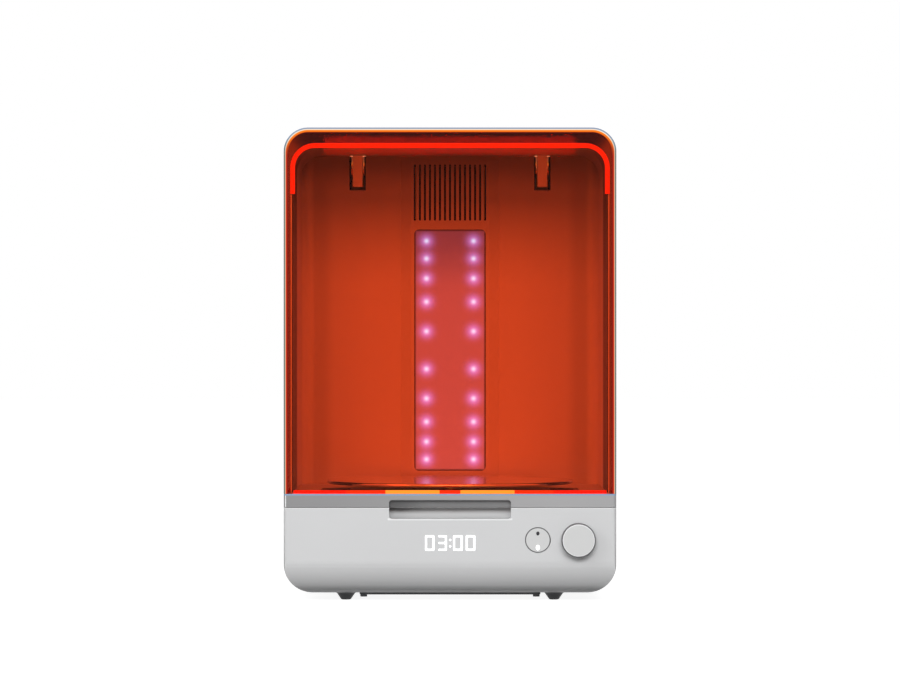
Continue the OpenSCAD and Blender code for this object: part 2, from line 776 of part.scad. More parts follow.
// Finned aluminium behind the lamp board, with two rails that reach the chassis plate
module heatsink() color("#a9adb1") difference() {
    union() {
        translate([-sink_w, sink_y, window_z0 - sink_over]) cube([2 * sink_w, sink_base, sink_h]);
        both_sides() translate([lug_in, plate_back, window_z0 - sink_over])
            cube([lug_w, sink_y - plate_back + 1, sink_h]);
        for (i = [-6:6])
            translate([i * fin_pitch - fin_t / 2, sink_y + sink_base - 0.5, window_z0 - sink_over])
                cube([fin_t, fin_d + 0.5, sink_h]);
    }
    for (p = sink_screws) translate([p.x, 0, p.y]) bar_y(1.6, plate_back - past, sink_y + sink_base + past);
}

module heatsink_screws() color("#b9bcc0")
    for (p = sink_screws) translate([p.x, sink_y + sink_base, p.y]) rotate([90, 0, 0])
        screw(sink_y + sink_base - plate_y - 0.3, r = 1.15, head_r = 2.3, head_h = 1.4);

// An open frame with thin upright fins, right behind the vent slots
module heater() color("#d9dadb") difference() {
    along_y(plate_back, fan_y)
        rounded(-heater_w / 2, heater_z - heater_h / 2, heater_w / 2, heater_z + heater_h / 2, 2, 2, 2, 2);
    for (i = [-6:6]) translate([i * 4.8 - 1.9, plate_back - past, heater_z - 23])
        cube([3.8, heater_t + 2 * past, 46]);
    for (x = [-fan_hole, fan_hole], z = [-fan_hole, fan_hole])
        translate([x, 0, heater_z + z]) bar_y(1.4, fan_y - 7, fan_y + past);
}

// A box fan frame from y0 to y1: a round duct, and struts with the axle on the rear side
module fan_frame(y0, y1, z) translate([0, 0, z]) {
    difference() {
        along_y(y0, y1) rounded(-fan_size / 2, -fan_size / 2, fan_size / 2, fan_size / 2, 4, 4, 4, 4);
        bar_y(fan_r, y0 - past, y1 + past);
        for (x = [-fan_hole, fan_hole], h = [-fan_hole, fan_hole])
            translate([x, 0, h]) bar_y(1.7, y0 - past, y1 + past);
    }
    bar_y(12, y1 - 1.5, y1);
    for (a = [45:90:315]) rotate([0, a, 0]) translate([10, y1 - 1.5, -1]) cube([fan_r - 9, 1.5, 2]);
    bar_y(1.5, y0 + 2, y1 - 1);
}

// A hub with pitched blades that runs on the frame's axle
module fan_rotor(y0, y1, z) translate([0, 0, z]) difference() {
    union() {
        bar_y(12, y0, y1);
        intersection() {
            bar_y(fan_r - 1, y0, y1);
            for (i = [0:6]) rotate([0, i * 360 / 7, 0]) translate([10, (y0 + y1) / 2, 0])
                rotate([40, 0, 0]) translate([0, -0.6, -fan_r / 2]) cube([fan_r, 1.2, fan_r]);
        }
    }
    bar_y(1.5 + run_gap, y0 - past, y1 + past);
}

module circulation_fan_frame() color("#2e2f31") fan_frame(fan_y, fan_y + fan_t, heater_z);
module circulation_fan_rotor() color("#3a3b3d") fan_rotor(fan_y + 1, fan_y + fan_t - 2, heater_z);
module exhaust_fan_frame() color("#2e2f31") fan_frame(exhaust_y, cover_y, exhaust_z);
module exhaust_fan_rotor() color("#3a3b3d") fan_rotor(exhaust_y + 1, cover_y - 2, exhaust_z);

module fan_screws() color("#b9bcc0") {
    for (x = [-fan_hole, fan_hole], z = [-fan_hole, fan_hole]) {
        translate([x, fan_y + fan_t, heater_z + z]) rotate([90, 0, 0])
            screw(fan_t + 5, r = 1.3, head_r = 2.4, head_h = 1.2);
        translate([x, rear_y - flush_head, exhaust_z + z]) rotate([90, 0, 0])
            screw(10, r = 1.5, head_h = flush_head);
    }
}

// A U of steel plate on the chassis plate: two cheeks beside the hinge arm, joined under it
module hinge_bracket() difference() {
    union() {
        for (s = [-1, 1]) translate([arm_x + s * (cheek_in + cheek_t / 2), 0, 0])
            along_x(-cheek_t / 2, cheek_t / 2)
                rounded(plate_back, axis_z - web_low, axis_y + cheek_back, axis_z + cheek_top, 0, 4, 8, 3);
        translate([arm_x - cheek_out, plate_back, axis_z - web_low])
            cube([2 * cheek_out, axis_y + cheek_back - 4 - plate_back, cheek_t]);
        for (s = [-1, 1]) translate([arm_x + s * (hinge_screw_out - 0.5) - 5.5, plate_back, axis_z - web_low])
            cube([11, cheek_t, 2 * (web_low - hinge_screw_low)]);
    }
    translate([0, axis_y, axis_z]) bar_x(bush_r + 0.02, arm_x - cheek_out - past, arm_x + cheek_out + past);
    for (s = [-1, 1]) translate([arm_x + s * hinge_screw_out, 0, axis_z - hinge_screw_low])
        bar_y(1.7, plate_back - past, plate_back + cheek_t + past);
}

module hinge_brackets() color("#8f959a") both_sides() hinge_bracket();

module hinge_screws() color("#b9bcc0")
    both_hinge_screws() translate([0, plate_back + cheek_t, 0]) rotate([90, 0, 0])
        screw(cheek_t + plate_t - 0.2, r = 1.15, head_r = 2.3, head_h = 1.4);

// Flanged bushes in the cheeks, where the pins turn
module hinge_bushes() color("#c9a227") both_sides() for (s = [-1, 1])
    translate([arm_x, axis_y, axis_z]) mirror([s < 0 ? 1 : 0, 0, 0]) difference() {
        union() {
            bar_x(bush_r, cheek_in - 0.5, cheek_out);
            bar_x(bush_r + 2, cheek_in - 0.9, cheek_in - 0.02);
        }
        bar_x(pin_r + run_gap, cheek_in - 2, cheek_out + past);
    }

// The drag units that hold the hood at any angle, outboard of the brackets
module friction_barrels() color("#6d7378") both_sides()
    translate([arm_x + cheek_out, axis_y, axis_z]) difference() {
        union() {
            bar_x(friction_r, 0.02, friction_l);
            bar_x(friction_r - 1.5, friction_l, friction_l + friction_nose);
        }
        bar_x(pin_r + run_gap, -past, friction_l - 2);
    }

module turntable_motor() color("#7d8287") translate([0, table_y, 0]) difference() {
    union() {
        translate([0, 0, motor_top - motor_h]) cylinder(motor_h, motor_r, motor_r);
        translate([0, 0, motor_top]) cylinder(1.5, 8, 8);
        translate([-motor_r - 8, -5, motor_top - 1.5]) cube([2 * motor_r + 16, 10, 1.5]);
    }
    translate([0, 0, motor_top - 8]) cylinder(12, spindle_r + run_gap, spindle_r + run_gap);
    for (s = [-1, 1]) translate([s * (motor_r + 4), 0, motor_top - 2]) cylinder(3, 1.6, 1.6);
}

module motor_bracket() color("#9aa0a5") translate([0, table_y, 0]) difference() {
    union() {
        translate([-40, -14, motor_top]) cube([80, 28, 2]);
        for (s = [-1, 1]) translate([s * 38.5 - 1.5, -14, motor_top])
            cube([3, 28, floor_z - floor_t - motor_top]);
    }
    translate([0, 0, motor_top - past]) cylinder(5, 8.2, 8.2);
    for (s = [-1, 1]) translate([s * (motor_r + 4), 0, motor_top - past]) cylinder(5, 1.4, 1.4);
}

module motor_screws() color("#b9bcc0") translate([0, table_y, 0])
    for (s = [-1, 1]) translate([s * (motor_r + 4), 0, motor_top - 1.5])
        screw(3.3, r = 1.3, head_r = 2.4, head_h = 1.4);

module spindle_bush() color("#c9a227") translate([0, table_y, 0]) difference() {
    union() {
        translate([0, 0, floor_z - floor_t - 2]) cylinder(floor_t + 2, spindle_r + 2, spindle_r + 2);
        translate([0, 0, floor_z]) cylinder(0.6, spindle_r + 4, spindle_r + 4);
    }
    translate([0, 0, floor_z - 10]) cylinder(20, spindle_r + run_gap, spindle_r + run_gap);
}

// The control board with its larger components
module main_board() color("#2f6b46") translate([0, 0, base_lift + post_h]) {
    difference() {
        translate([board_x, -board_l / 2, 0]) cube([board_w, board_l, pcb_t]);
        for (p = board_posts) translate([p.x, p.y, -past]) cylinder(pcb_t + 2 * past, 1.3, 1.3);
    }
    translate([0, 0, pcb_t]) {
        for (i = [0:3]) translate([15 + i * 12, -52, 0]) cylinder(16, 5, 5);
        translate([12, -30, 0]) cube([40, 24, 14]);
        translate([16, 6, 0]) cube([14, 14, 1.4]);
        for (i = [0:2]) translate([38 + i * 8, 4, 0]) cube([5, 20, 12]);
        translate([10, 40, 0]) cube([46, 8, 9]);
    }
}

module power_supply() color("#aeb3b7") difference() {
    translate([supply_x - supply_w, -supply_l / 2, base_lift]) cube([supply_w, supply_l, supply_h]);
    for (i = [0:11])
        translate([supply_x - supply_w / 2, 16 - supply_l / 2 + i * 8, base_lift + supply_h - 2])
            rotate([0, 0, 90]) linear_extrude(3) slot(3, 10 - supply_w / 2, supply_w / 2 - 10);
    translate([supply_x - supply_w + 4, supply_l / 2 - 14, base_lift + supply_h - 12])
        cube([supply_w - 8, 15, 13]);
}

module display_board() color("#2f6b46") difference() {
    along_y(board_front, board_front + pcb_t)
        rounded(display_x0, control_z - display_low, knob_x + display_over, control_z + display_high,
            2, 2, 2, 2);
    for (p = display_posts)
        translate([p.x, 0, control_z + p.y]) bar_y(1.6, board_front - past, board_front + pcb_t + past);
}

// Four seven-segment digits and a colon, moulded as light wells in one block behind the panel
module display_light_guide() color("#e4e4e2") difference() {
    along_y(panel_in + 0.3, board_front)
        rounded(digit_x[0] - guide_edge, control_z - digit_drop - guide_h / 2, digit_x[3] + guide_edge,
            control_z - digit_drop + guide_h / 2, 1, 1, 1, 1);
    for (x = digit_x) translate([x, 0, control_z - digit_drop])
        for (s = [-1, 1]) {
            for (h = [-1, 1])
                translate([s * digit_w / 2 - digit_line / 2, panel_in, h * digit_w / 2 - 2.3])
                    cube([digit_line, light_well, 4.6]);
            translate([-2, panel_in, s * (digit_w - 0.5) - digit_line / 2]) cube([4, light_well, digit_line]);
        }
}

module display_screws() color("#b9bcc0")
    for (p = display_posts) translate([p.x, board_front + pcb_t, control_z + p.y]) rotate([90, 0, 0])
        screw(display_screw_l, r = 1.15, head_r = 2.2, head_h = 1.4);

module encoder_body() color("#8b9094") translate([knob_x, 0, control_z]) difference() {
    union() {
        translate([-7, front_y + 5.5, -7]) cube([14, board_front - front_y - 5.5, 14]);
        bar_y(shaft_r + 1.9, front_y + 0.8, front_y + 6);
    }
    bar_y(shaft_r + run_gap, front_y, slider_y + slider_t + knob_travel + 0.7);
    bar_y(shaft_r + 2.5, slider_y - 1, slider_y + slider_t + knob_travel + rest_gap);
}

module start_switch() color("#2c2d2f") translate([button_x, 0, control_z]) {
    translate([-3, board_front - switch_h, -3]) cube([6, switch_h, 6]);
    bar_y(1.75, switch_tip, board_front - switch_h);
}

// A coil spring between the board and the start button's wall: a wire swept along a helix
module button_spring() color("#c6c9cc") {
    turns = 3;
    steps = 12;
    sides = 6;
    wire_r = 0.4;
    coil_r = button_r - button_wall / 2;
    y0 = board_front - wire_r - 0.02;
    y1 = front_y + button_len + button_travel + rest_gap + wire_r;
    ring = [for (i = [0:turns * steps]) let (a = i * 360 / steps)
        for (j = [0:sides - 1]) let (b = j * 360 / sides, r = coil_r + wire_r * cos(b))
            [r * cos(a), y0 + (y1 - y0) * i / (turns * steps) + wire_r * sin(b), r * sin(a)]];
    last = turns * steps * sides;
    translate([button_x, 0, control_z]) polyhedron(ring, concat(
        [[for (j = [0:sides - 1]) j]],
        [[for (j = [sides - 1:-1:0]) last + j]],
        [for (i = [0:turns * steps - 1], j = [0:sides - 1]) let (k = (j + 1) % sides)
            [i * sides + j, (i + 1) * sides + j, (i + 1) * sides + k, i * sides + k]]
    ));
}

// Panel inlet for a mains lead, flush with the rear face
module mains_inlet() color("#222325") translate([inlet_x, 0, inlet_z]) difference() {
    union() {
        along_y(rear_y - 24, rear_y - 0.3) rounded(-14.8, -12.8, 14.8, 12.8, 2, 2, 2, 2);
        along_y(rear_y - base_wall - 2, rear_y - base_wall) rounded(-20, -14.5, 20, 14.5, 3, 3, 3, 3);
    }
    along_y(rear_y - 17, rear_y + past) polygon([
        [-12, -8.2], [12, -8.2], [12, 4.2], [8, 8.2], [-8, 8.2], [-12, 4.2]
    ]);
    for (p = inlet_blades)
        translate([p.x - blade_w / 2 - run_gap, rear_y - 30, p.y - blade_h / 2 - run_gap])
            cube([blade_w + 2 * run_gap, 16, blade_h + 2 * run_gap]);
}

module inlet_pins() color("#c8b560") translate([inlet_x, 0, inlet_z])
    for (p = inlet_blades) translate([p.x - blade_w / 2, rear_y - 29, p.y - blade_h / 2])
        cube([blade_w, 23, blade_h]);

module switch_housing() color("#222325") translate([switch_x, 0, inlet_z]) difference() {
    union() {
        along_y(rear_y - 20, rear_y - 0.3) rounded(-7.8, -11.8, 7.8, 11.8, 1.5, 1.5, 1.5, 1.5);
        along_y(rear_y - base_wall - 2, rear_y - base_wall) rounded(-10.5, -14, 10.5, 14, 2, 2, 2, 2);
    }
    along_y(rear_y - 12, rear_y + past) rounded(-6, -10, 6, 10);
    translate([0, rocker_y, 0]) bar_x(1.5 + run_gap, -7.2, 7.2);
}

// The rocker is a wedge with two flat keys that meet over its pivot. At rest it is switched on
module power_rocker() color("#1d1e20") translate([switch_x, rocker_y, inlet_z]) {
    rotate([-9, 0, 0]) intersection() {
        along_x(-5.5, 5.5) polygon([
            [-3, -4.5], [3.4, -8.8], [5.1, -8.8], [4.2, 0], [5.1, 8.8], [3.4, 8.8], [-3, 4.5]
        ]);
        bar_x(9.3, -5.5, 5.5);
    }
    bar_x(1.5, -7, 7);
}

module hood_sensor() color("#2f6b46") {
    translate([-9, notch_y + floor_t + 0.02, base_top]) cube([18, 1.6, floor_z - floor_t - base_top]);
    translate([-3, notch_y + floor_t + 1.62, base_top + 2]) cube([6, 2, 4]);
}

// What the hood leaves to the rear housing: all behind the upright split, and a round about the hinge axis
module hood_rear_cut() {
    translate([0, axis_y, axis_z]) bar_x(barrel_r, -half_w - past, half_w + past);
    translate([-half_w - past, hood_end_y, 0]) cube([body_w + 2 * past, body_d, axis_z]);
}

module hood_shell() color("#e2571c", 0.7) difference() {
    intersection() {
        along_y(front_y, axis_y) arch(half_w, hood_z, total_h, hood_round);
        linear_extrude(total_h + past) rounded(-half_w, front_y, half_w, rear_y, corner_round, corner_round);
    }
    along_y(front_y + hood_wall, rear_y)
        arch(half_w - hood_wall, hood_z - past, ceiling_z, hood_round - hood_wall);
    hood_rear_cut();
}

// Grey band bonded under the acrylic: front and two sides, with the recessed lip for the fingers
module hood_band() color("#929394") difference() {
    union() {
        difference() {
            translate([0, 0, band_z]) linear_extrude(band_h)
                rounded(-half_w, front_y, half_w, hood_end_y, corner_round, corner_round);
            translate([0, 0, band_z - past]) linear_extrude(band_h + 2 * past)
                rounded(-half_w + hood_wall, front_y + hood_wall, half_w - hood_wall, hood_end_y + past);
        }
        translate([-half_w + hood_wall + rail_in, front_y + hood_wall - 0.5, hood_z - rail_low])
            cube([body_w - 2 * (hood_wall + rail_in), rail_t + 0.5 - fit_gap, rail_low]);
        difference() {
            translate([-half_w + hood_wall + rail_in, front_y + hood_wall + fit_gap, hood_z - rail_low])
                cube([body_w - 2 * (hood_wall + rail_in), rail_t - fit_gap, rail_low + rail_h]);
            both_sides() translate([lip_strip_in - 0.02, front_y, hood_z])
                cube([pull_w / 2 + lip_over - lip_strip_in + 0.04, scoop_d, band_h]);
        }
        translate([-pull_w / 2 - lip_over, front_y + hood_wall - 0.5, band_z])
            cube([pull_w + 2 * lip_over, scoop_d - hood_wall - 0.5, band_h]);
    }
    along_y(front_y - past, front_y + lip_d)
        rounded(-pull_w / 2, band_z - past, pull_w / 2, base_top + lip_h, 0, 0, 2.5, 2.5);
    translate([0, 0, magnet_z]) bar_y(magnet_r + 0.1, magnet_y - 0.1, front_y + scoop_d);
}

// Two bright strips on top of the lip, in the gasket's gaps and right behind the acrylic
module lip_strips() color("#f2f2ee") both_sides()
    translate([lip_strip_in, front_y + hood_wall + fit_gap, hood_z])
        cube([pull_w / 2 + lip_over - lip_strip_in, lip_strip_d, rail_h]);

module hood_magnet() color("#6f7478") translate([0, 0, magnet_z])
    bar_y(magnet_r, magnet_y, front_y + scoop_d - 1.2);

// Hinge arm: a foot bonded under the hood's ceiling, and a plate that reaches down behind the wall
module hinge_arm() difference() {
    union() {
        translate([arm_x, axis_y, axis_z]) {
            along_x(-arm_w / 2, arm_w / 2) {
                polygon([
                    [-axis_y + plate_y + tab_gap, -arm_low],
                    [-axis_y + plate_y + tab_gap, liner_top - axis_z + 2],
                    [-arm_tab, liner_top - axis_z + 2], [-arm_tab, ceiling_z - axis_z],
                    [-15.5, ceiling_z - axis_z], [-9, boss_r + 3], [0, boss_r], [4, 0], [0, -boss_r]
                ]);
                circle(boss_r);
            }
            translate([-arm_foot_w / 2, -arm_foot_l, ceiling_z - axis_z - arm_foot_t])
                cube([arm_foot_w, arm_foot_l - barrel_r + 4.5, arm_foot_t]);
        }
    }
    translate([arm_x, axis_y, axis_z]) bar_x(pin_r + 0.02, -arm_w, arm_w);
}

module hinge_arm_right() color("#b2b6b9") hinge_arm();
module hinge_arm_left() color("#b2b6b9") mirror([1, 0, 0]) hinge_arm();

module hinge_pins() color("#d3d6d8") both_sides()
    translate([arm_x, axis_y, axis_z]) bar_x(pin_r, -cheek_out - 1.5, cheek_out + friction_l - 4);

module turntable_spindle() color("#d3d6d8") translate([0, table_y, 0]) {
    translate([0, 0, motor_top - 6])
        cylinder(floor_z + table_lift + 1.2 - motor_top + 6, spindle_r, spindle_r);
    translate([0, 0, floor_z + 0.9]) cylinder(1, spindle_r + 3, spindle_r + 3);
}

// A mirror-bright disc with a rolled edge and a hub that drops over the spindle
module turntable() color("#d8dadb") translate([0, table_y, floor_z]) difference() {
    union() {
        translate([0, 0, table_lift]) rotate_extrude() union() {
            square([table_r - table_t / 2, table_t]);
            translate([table_r - table_t / 2, table_t / 2]) circle(table_t / 2);
        }
        translate([0, 0, 2.2]) cylinder(table_lift - 2.2 + 0.5, spindle_r + 5, spindle_r + 5);
    }
    cylinder(table_lift + 1.5, spindle_r + run_gap, spindle_r + run_gap);
}

// The encoder's sliding ring: the shaft turns in it, and both move back when the knob is pushed
module encoder_slider() color("#5d6165") translate([knob_x, 0, control_z]) difference() {
    bar_y(shaft_r + 2.2, slider_y, slider_y + slider_t);
    bar_y(shaft_r + run_gap, slider_y - past, slider_y + slider_t + past);
}

module encoder_shaft() color("#b4b8bb") translate([knob_x, 0, control_z])
    bar_y(shaft_r, front_y - knob_proud + knob_web, slider_y + slider_t + 0.4);

// The knob: a flat face with a small bevel, hollow behind, on the encoder's shaft
module knob_cap() color("#c9cacb") translate([knob_x, front_y - knob_proud, control_z]) difference() {
    rotate([-90, 0, 0]) rotate_extrude() polygon([
        [0, 0], [knob_r - 1, 0], [knob_r, 1], [knob_r, knob_back - front_y + knob_proud],
        [0, knob_back - front_y + knob_proud]
    ]);
    difference() {
        bar_y(knob_r - 2, knob_web + 0.5, knob_proud);
        bar_y(shaft_r + 2.5, 0, knob_proud + past);
    }
    bar_y(shaft_r + 0.02, knob_web - 0.02, knob_proud);
}

// The round start key: cap, retaining flange, and a stem over the switch
module start_button() color("#c4c5c6") translate([button_x, 0, control_z]) difference() {
    union() {
        difference() {
            union() {
                bar_y(button_r, front_y, front_y + button_len);
                bar_y(button_r + button_lap, front_y + button_len - button_flange, front_y + button_len);
            }
            bar_y(button_r - button_wall, front_y + 2, front_y + button_len + past);
        }
        bar_y(stem_r, front_y + 1.9, switch_tip - button_travel - rest_gap);
    }
    translate([0, 0, button_mark]) bar_y(1.4, front_y - past, front_y + 0.2);
    translate([0, 0, -button_lamp]) bar_y(2.2, front_y - past, front_y + 0.2);
}

base_shell();
bottom_cover();
bottom_cover_screws();
rubber_feet();
chamber_floor();
floor_vent_left();
floor_vent_right();
chassis_plate();
chassis_screws();
chamber_liner();
liner_seal();
rear_housing();
housing_screws();
rear_cover();
rear_cover_screws();
lamp_window();
lamp_board();
lamps();
heatsink();
heatsink_screws();
heater();
circulation_fan_frame();
circulation_fan_rotor();
exhaust_fan_frame();
exhaust_fan_rotor();
fan_screws();
hinge_brackets();
hinge_screws();
hinge_bushes();
friction_barrels();
turntable_motor();
motor_bracket();
motor_screws();
spindle_bush();
main_board();
power_supply();
display_board();
display_light_guide();
display_screws();
encoder_body();
start_switch();
button_spring();
mains_inlet();
inlet_pins();
switch_housing();
hood_sensor();
hood_shell();
hood_band();
lip_strips();
hood_magnet();
hinge_arm_left();
hinge_arm_right();
hinge_pins();
turntable_spindle();
turntable();
encoder_slider();
encoder_shaft();
knob_cap();
start_button();
power_rocker();
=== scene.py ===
# %% [markdown]
# A bench-top curing unit. The work stands on a turntable inside an orange hood, and violet lamps behind a window
# harden it. The construction comes as fixed, finished solids, and this script gives them their surfaces: eased
# edges, moulded plastic, tinted acrylic, lit lamps, and the small marks on the front.

# %% Load the fixed frame
import json
import math

import bpy
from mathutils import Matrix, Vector


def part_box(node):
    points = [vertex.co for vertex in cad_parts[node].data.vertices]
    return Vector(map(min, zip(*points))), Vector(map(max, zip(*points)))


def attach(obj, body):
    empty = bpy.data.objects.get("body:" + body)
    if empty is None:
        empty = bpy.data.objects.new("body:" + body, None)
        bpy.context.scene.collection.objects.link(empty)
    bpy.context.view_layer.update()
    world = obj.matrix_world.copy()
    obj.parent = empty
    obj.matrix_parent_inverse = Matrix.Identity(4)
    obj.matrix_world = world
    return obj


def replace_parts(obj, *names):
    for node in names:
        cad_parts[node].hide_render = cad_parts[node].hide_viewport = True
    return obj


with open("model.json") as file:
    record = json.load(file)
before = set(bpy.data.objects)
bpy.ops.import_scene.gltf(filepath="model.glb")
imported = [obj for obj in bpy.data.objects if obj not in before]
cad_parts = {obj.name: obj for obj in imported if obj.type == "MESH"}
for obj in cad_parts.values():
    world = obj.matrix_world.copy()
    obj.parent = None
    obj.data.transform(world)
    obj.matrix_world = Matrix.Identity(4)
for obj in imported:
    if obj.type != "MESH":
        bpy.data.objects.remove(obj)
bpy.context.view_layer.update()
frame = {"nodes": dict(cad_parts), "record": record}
record = frame["record"]
MM = 0.001
body_of = {node: body for body, nodes in record["behaviour"]["bodies"].items() for node in nodes}
slot_of = {part["node"]: part["material_slot"] for part in record["subparts"]}

# %% [markdown]
# The photograph is taken square on, from about half the unit's height, with a long lens. Its front face is
# parallel to the picture, so one scale holds for that whole face: 900 pixels there are 732.4 millimetres.

# %% The camera
base_low, base_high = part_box("base_shell")
hood_low, hood_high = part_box("hood_shell")
front_y = base_low.y
half_w = base_high.x
top_z = hood_high.z

PHOTO_WIDTH = 900
PIXEL = 0.8138 * MM
VIEW_DISTANCE = 3.1
EYE_ABOVE_BASE = 138.7 * MM
EYE_HEIGHT = base_high.z + EYE_ABOVE_BASE
SENSOR = 36

camera_data = bpy.data.cameras.new("camera")
camera_data.sensor_width = SENSOR
camera_data.lens = SENSOR * VIEW_DISTANCE / (PHOTO_WIDTH * PIXEL)
camera = bpy.data.objects.new("camera", camera_data)
camera.location = (0, front_y - VIEW_DISTANCE, EYE_HEIGHT)
camera.rotation_euler = (math.radians(90), 0, 0)
bpy.context.scene.collection.objects.link(camera)
bpy.context.scene.camera = camera
print("lens", round(camera_data.lens, 1), "mm")

# %% [markdown]
# A material is a small network of nodes. Written as plain sums it is easier to read, so a Wire stands for one
# value on its way through the network, and adding or multiplying wires adds the Math nodes.


# %% Wires and materials
class Wire:
    """A value in a material's node network."""

    def __init__(self, shop, socket):
        self.shop, self.socket = shop, socket

    def math(self, operation, first, second=0.0, third=0.0):
        return self.shop.add("ShaderNodeMath", {"operation": operation}, {0: first, 1: second, 2: third})

    def __add__(self, other):
        return self.math("ADD", self, other)

    __radd__ = __add__

    def __sub__(self, other):
        return self.math("SUBTRACT", self, other)

    def __rsub__(self, other):
        return self.math("SUBTRACT", other, self)

    def __mul__(self, other):
        return self.math("MULTIPLY", self, other)

    __rmul__ = __mul__

    def __truediv__(self, other):
        return self.math("DIVIDE", self, other)

    def __pow__(self, other):
        return self.math("POWER", self, other)

    def size(self):
        return self.math("ABSOLUTE", self)

    def least(self, other):
        return self.math("MINIMUM", self, other)

    def most(self, other):
        return self.math("MAXIMUM", self, other)

    def bell(self, spread):
        """A bell curve of the given spread, for a value that is a squared distance."""
        return self.math("EXPONENT", self * (-1 / spread ** 2))

    def step(self, start, end):
        """0 before start and 1 after end, with a smooth rise between them."""
        return self.shop.add("ShaderNodeMapRange", {"interpolation_type": "SMOOTHSTEP"},
                             {"Value": self, "From Min": start, "From Max": end}, "Result")


class Shop:
    """Builds one material or world."""

    def __init__(self, name, world=False):
        self.thing = bpy.data.worlds.new(name) if world else bpy.data.materials.new(name)
        self.thing.use_nodes = True
        self.tree = self.thing.node_tree
        self.tree.nodes.clear()
        self.output = self.tree.nodes.new("ShaderNodeOutputWorld" if world else "ShaderNodeOutputMaterial")

    def add(self, kind, settings=None, sockets=None, out=0):
        """Adds a node, with its settings first and then its sockets' values or links."""
        node = self.tree.nodes.new(kind)
        for name, value in (settings or {}).items():
            setattr(node, name, value)
        for name, value in (sockets or {}).items():
            if isinstance(value, Wire):
                self.tree.links.new(value.socket, node.inputs[name])
            else:
                node.inputs[name].default_value = value
        return Wire(self, node.outputs[out])

    def ramp(self, amount, stops):
        """A colour that runs through the stops as amount goes from 0 to 1."""
        node = self.tree.nodes.new("ShaderNodeValToRGB")
        band = node.color_ramp
        for element, (place, colour) in zip(list(band.elements), (stops[0], stops[-1])):
            element.position, element.color = place, (*colour, 1)
        for place, colour in stops[1:-1]:
            band.elements.new(place).color = (*colour, 1)
        self.tree.links.new(amount.socket, node.inputs[0])
        return Wire(self, node.outputs[0])

    def place(self):
        """The point's X, Y and Z in the unit's own frame, and the whole vector."""
        spot = self.add("ShaderNodeTexCoord", out="Object")
        parts = self.tree.nodes.new("ShaderNodeSeparateXYZ")
        self.tree.links.new(spot.socket, parts.inputs[0])
        return [Wire(self, parts.outputs[i]) for i in range(3)] + [spot]

    def noise(self, spot, scale, detail=3.0, stretch=None):
        """Cloudy noise from 0 to 1. stretch squeezes it along the axes, for brushed metal."""
        if stretch:
            spot = self.add("ShaderNodeMapping", None, {"Vector": spot, "Scale": stretch})
        return self.add("ShaderNodeTexNoise", None, {"Vector": spot, "Scale": scale, "Detail": detail})

    def blend(self, amount, first, second):
        """A mix of two colours."""
        return self.add("ShaderNodeMix", {"data_type": "RGBA"}, {0: amount, 6: first, 7: second}, out=2)

    def bump(self, height, depth):
        """A relief of the given depth, for a shader's Normal."""
        return self.add("ShaderNodeBump", None, {"Height": height, "Distance": depth}, "Normal")

    def coat(self, **sockets):
        """The general surface shader, with underscores for the spaces in its sockets' names."""
        return self.add("ShaderNodeBsdfPrincipled", None, {k.replace("_", " "): v for k, v in sockets.items()})

    def mix(self, amount, first, second):
        """A mix of two shaders."""
        return self.add("ShaderNodeMixShader", None, {0: amount, 1: first, 2: second})

    def done(self, shader):
        """Joins the shader to the output and hands over the material."""
        self.tree.links.new(shader.socket, self.output.inputs[0])
        return self.thing


def shade(red, green, blue):
    """A colour read off a screen, from 0 to 255, as the light values that the shaders use."""
    def light(part):
        part = part / 255
        return part / 12.92 if part <= 0.04045 else ((part + 0.055) / 1.055) ** 2.4
    return light(red), light(green), light(blue), 1


def tinted(colour, factor):
    """The colour made lighter or darker by a factor."""
    return tuple(min(part * factor, 1) for part in colour[:3]) + (1,)


# Near-black painted shade, for inner faces that lie in shade behind slots and vents.
PAINTED_SHADE_DARK = shade(6, 6, 6)
print("a middle grey as light:", [round(part, 3) for part in shade(128, 128, 128)[:3]])

# %% [markdown]
# Moulded plastic isn't a flat colour. The tool leaves a fine spark-eroded grain, its gloss drifts a little from
# place to place, and the pigment is never quite even. Each of the three is one layer of noise.


# %% Plastics and rubber
GRAIN_DEPTH = 0.006 * MM
GRAIN_SCALE = 1800


def moulded(name, colour, roughness, grain=GRAIN_DEPTH, grain_scale=GRAIN_SCALE, coat=0.0, painted_shade_inside=None):
    """A moulded plastic. The last argument names the planes at the side, back and top behind which its inside
    gets a near-black painted shade.
    """
    shop = Shop(name)
    x, y, z, spot = shop.place()
    pigment = shop.noise(spot, 14)
    gloss = shop.noise(spot, 60)
    skin = shop.blend(pigment, tinted(colour, 0.97), tinted(colour, 1.03))
    if painted_shade_inside:
        side, back, top = painted_shade_inside
        # Painted shade: faces behind those planes turn near-black.
        depth = (side - x.size()).least(back - y).least(top - z)
        skin = shop.blend(depth.step(0, 1 * MM), skin, PAINTED_SHADE_DARK)
    return shop.done(shop.coat(
        Base_Color=skin,
        Roughness=gloss * 0.12 + (roughness - 0.06),
        Coat_Weight=coat,
        Coat_Roughness=0.2,
        Normal=shop.bump(shop.noise(spot, grain_scale, 2), grain)))


PULL_HALF = 49.6 * MM
PULL_LOW = base_high.z - 8.5 * MM
PULL_DEPTH = 20 * MM


def painted_shade_left_end(x):
    """1 at the finger pull's left end, fading out toward its middle; it weights the painted shade there."""
    return 1 - x.step(-46 * MM, -14 * MM)


def no_deeper(y):
    """1 from the front back to the finger pull's rear wall, and 0 behind it."""
    return 1 - y.step(front_y + PULL_DEPTH, front_y + PULL_DEPTH + 1 * MM)


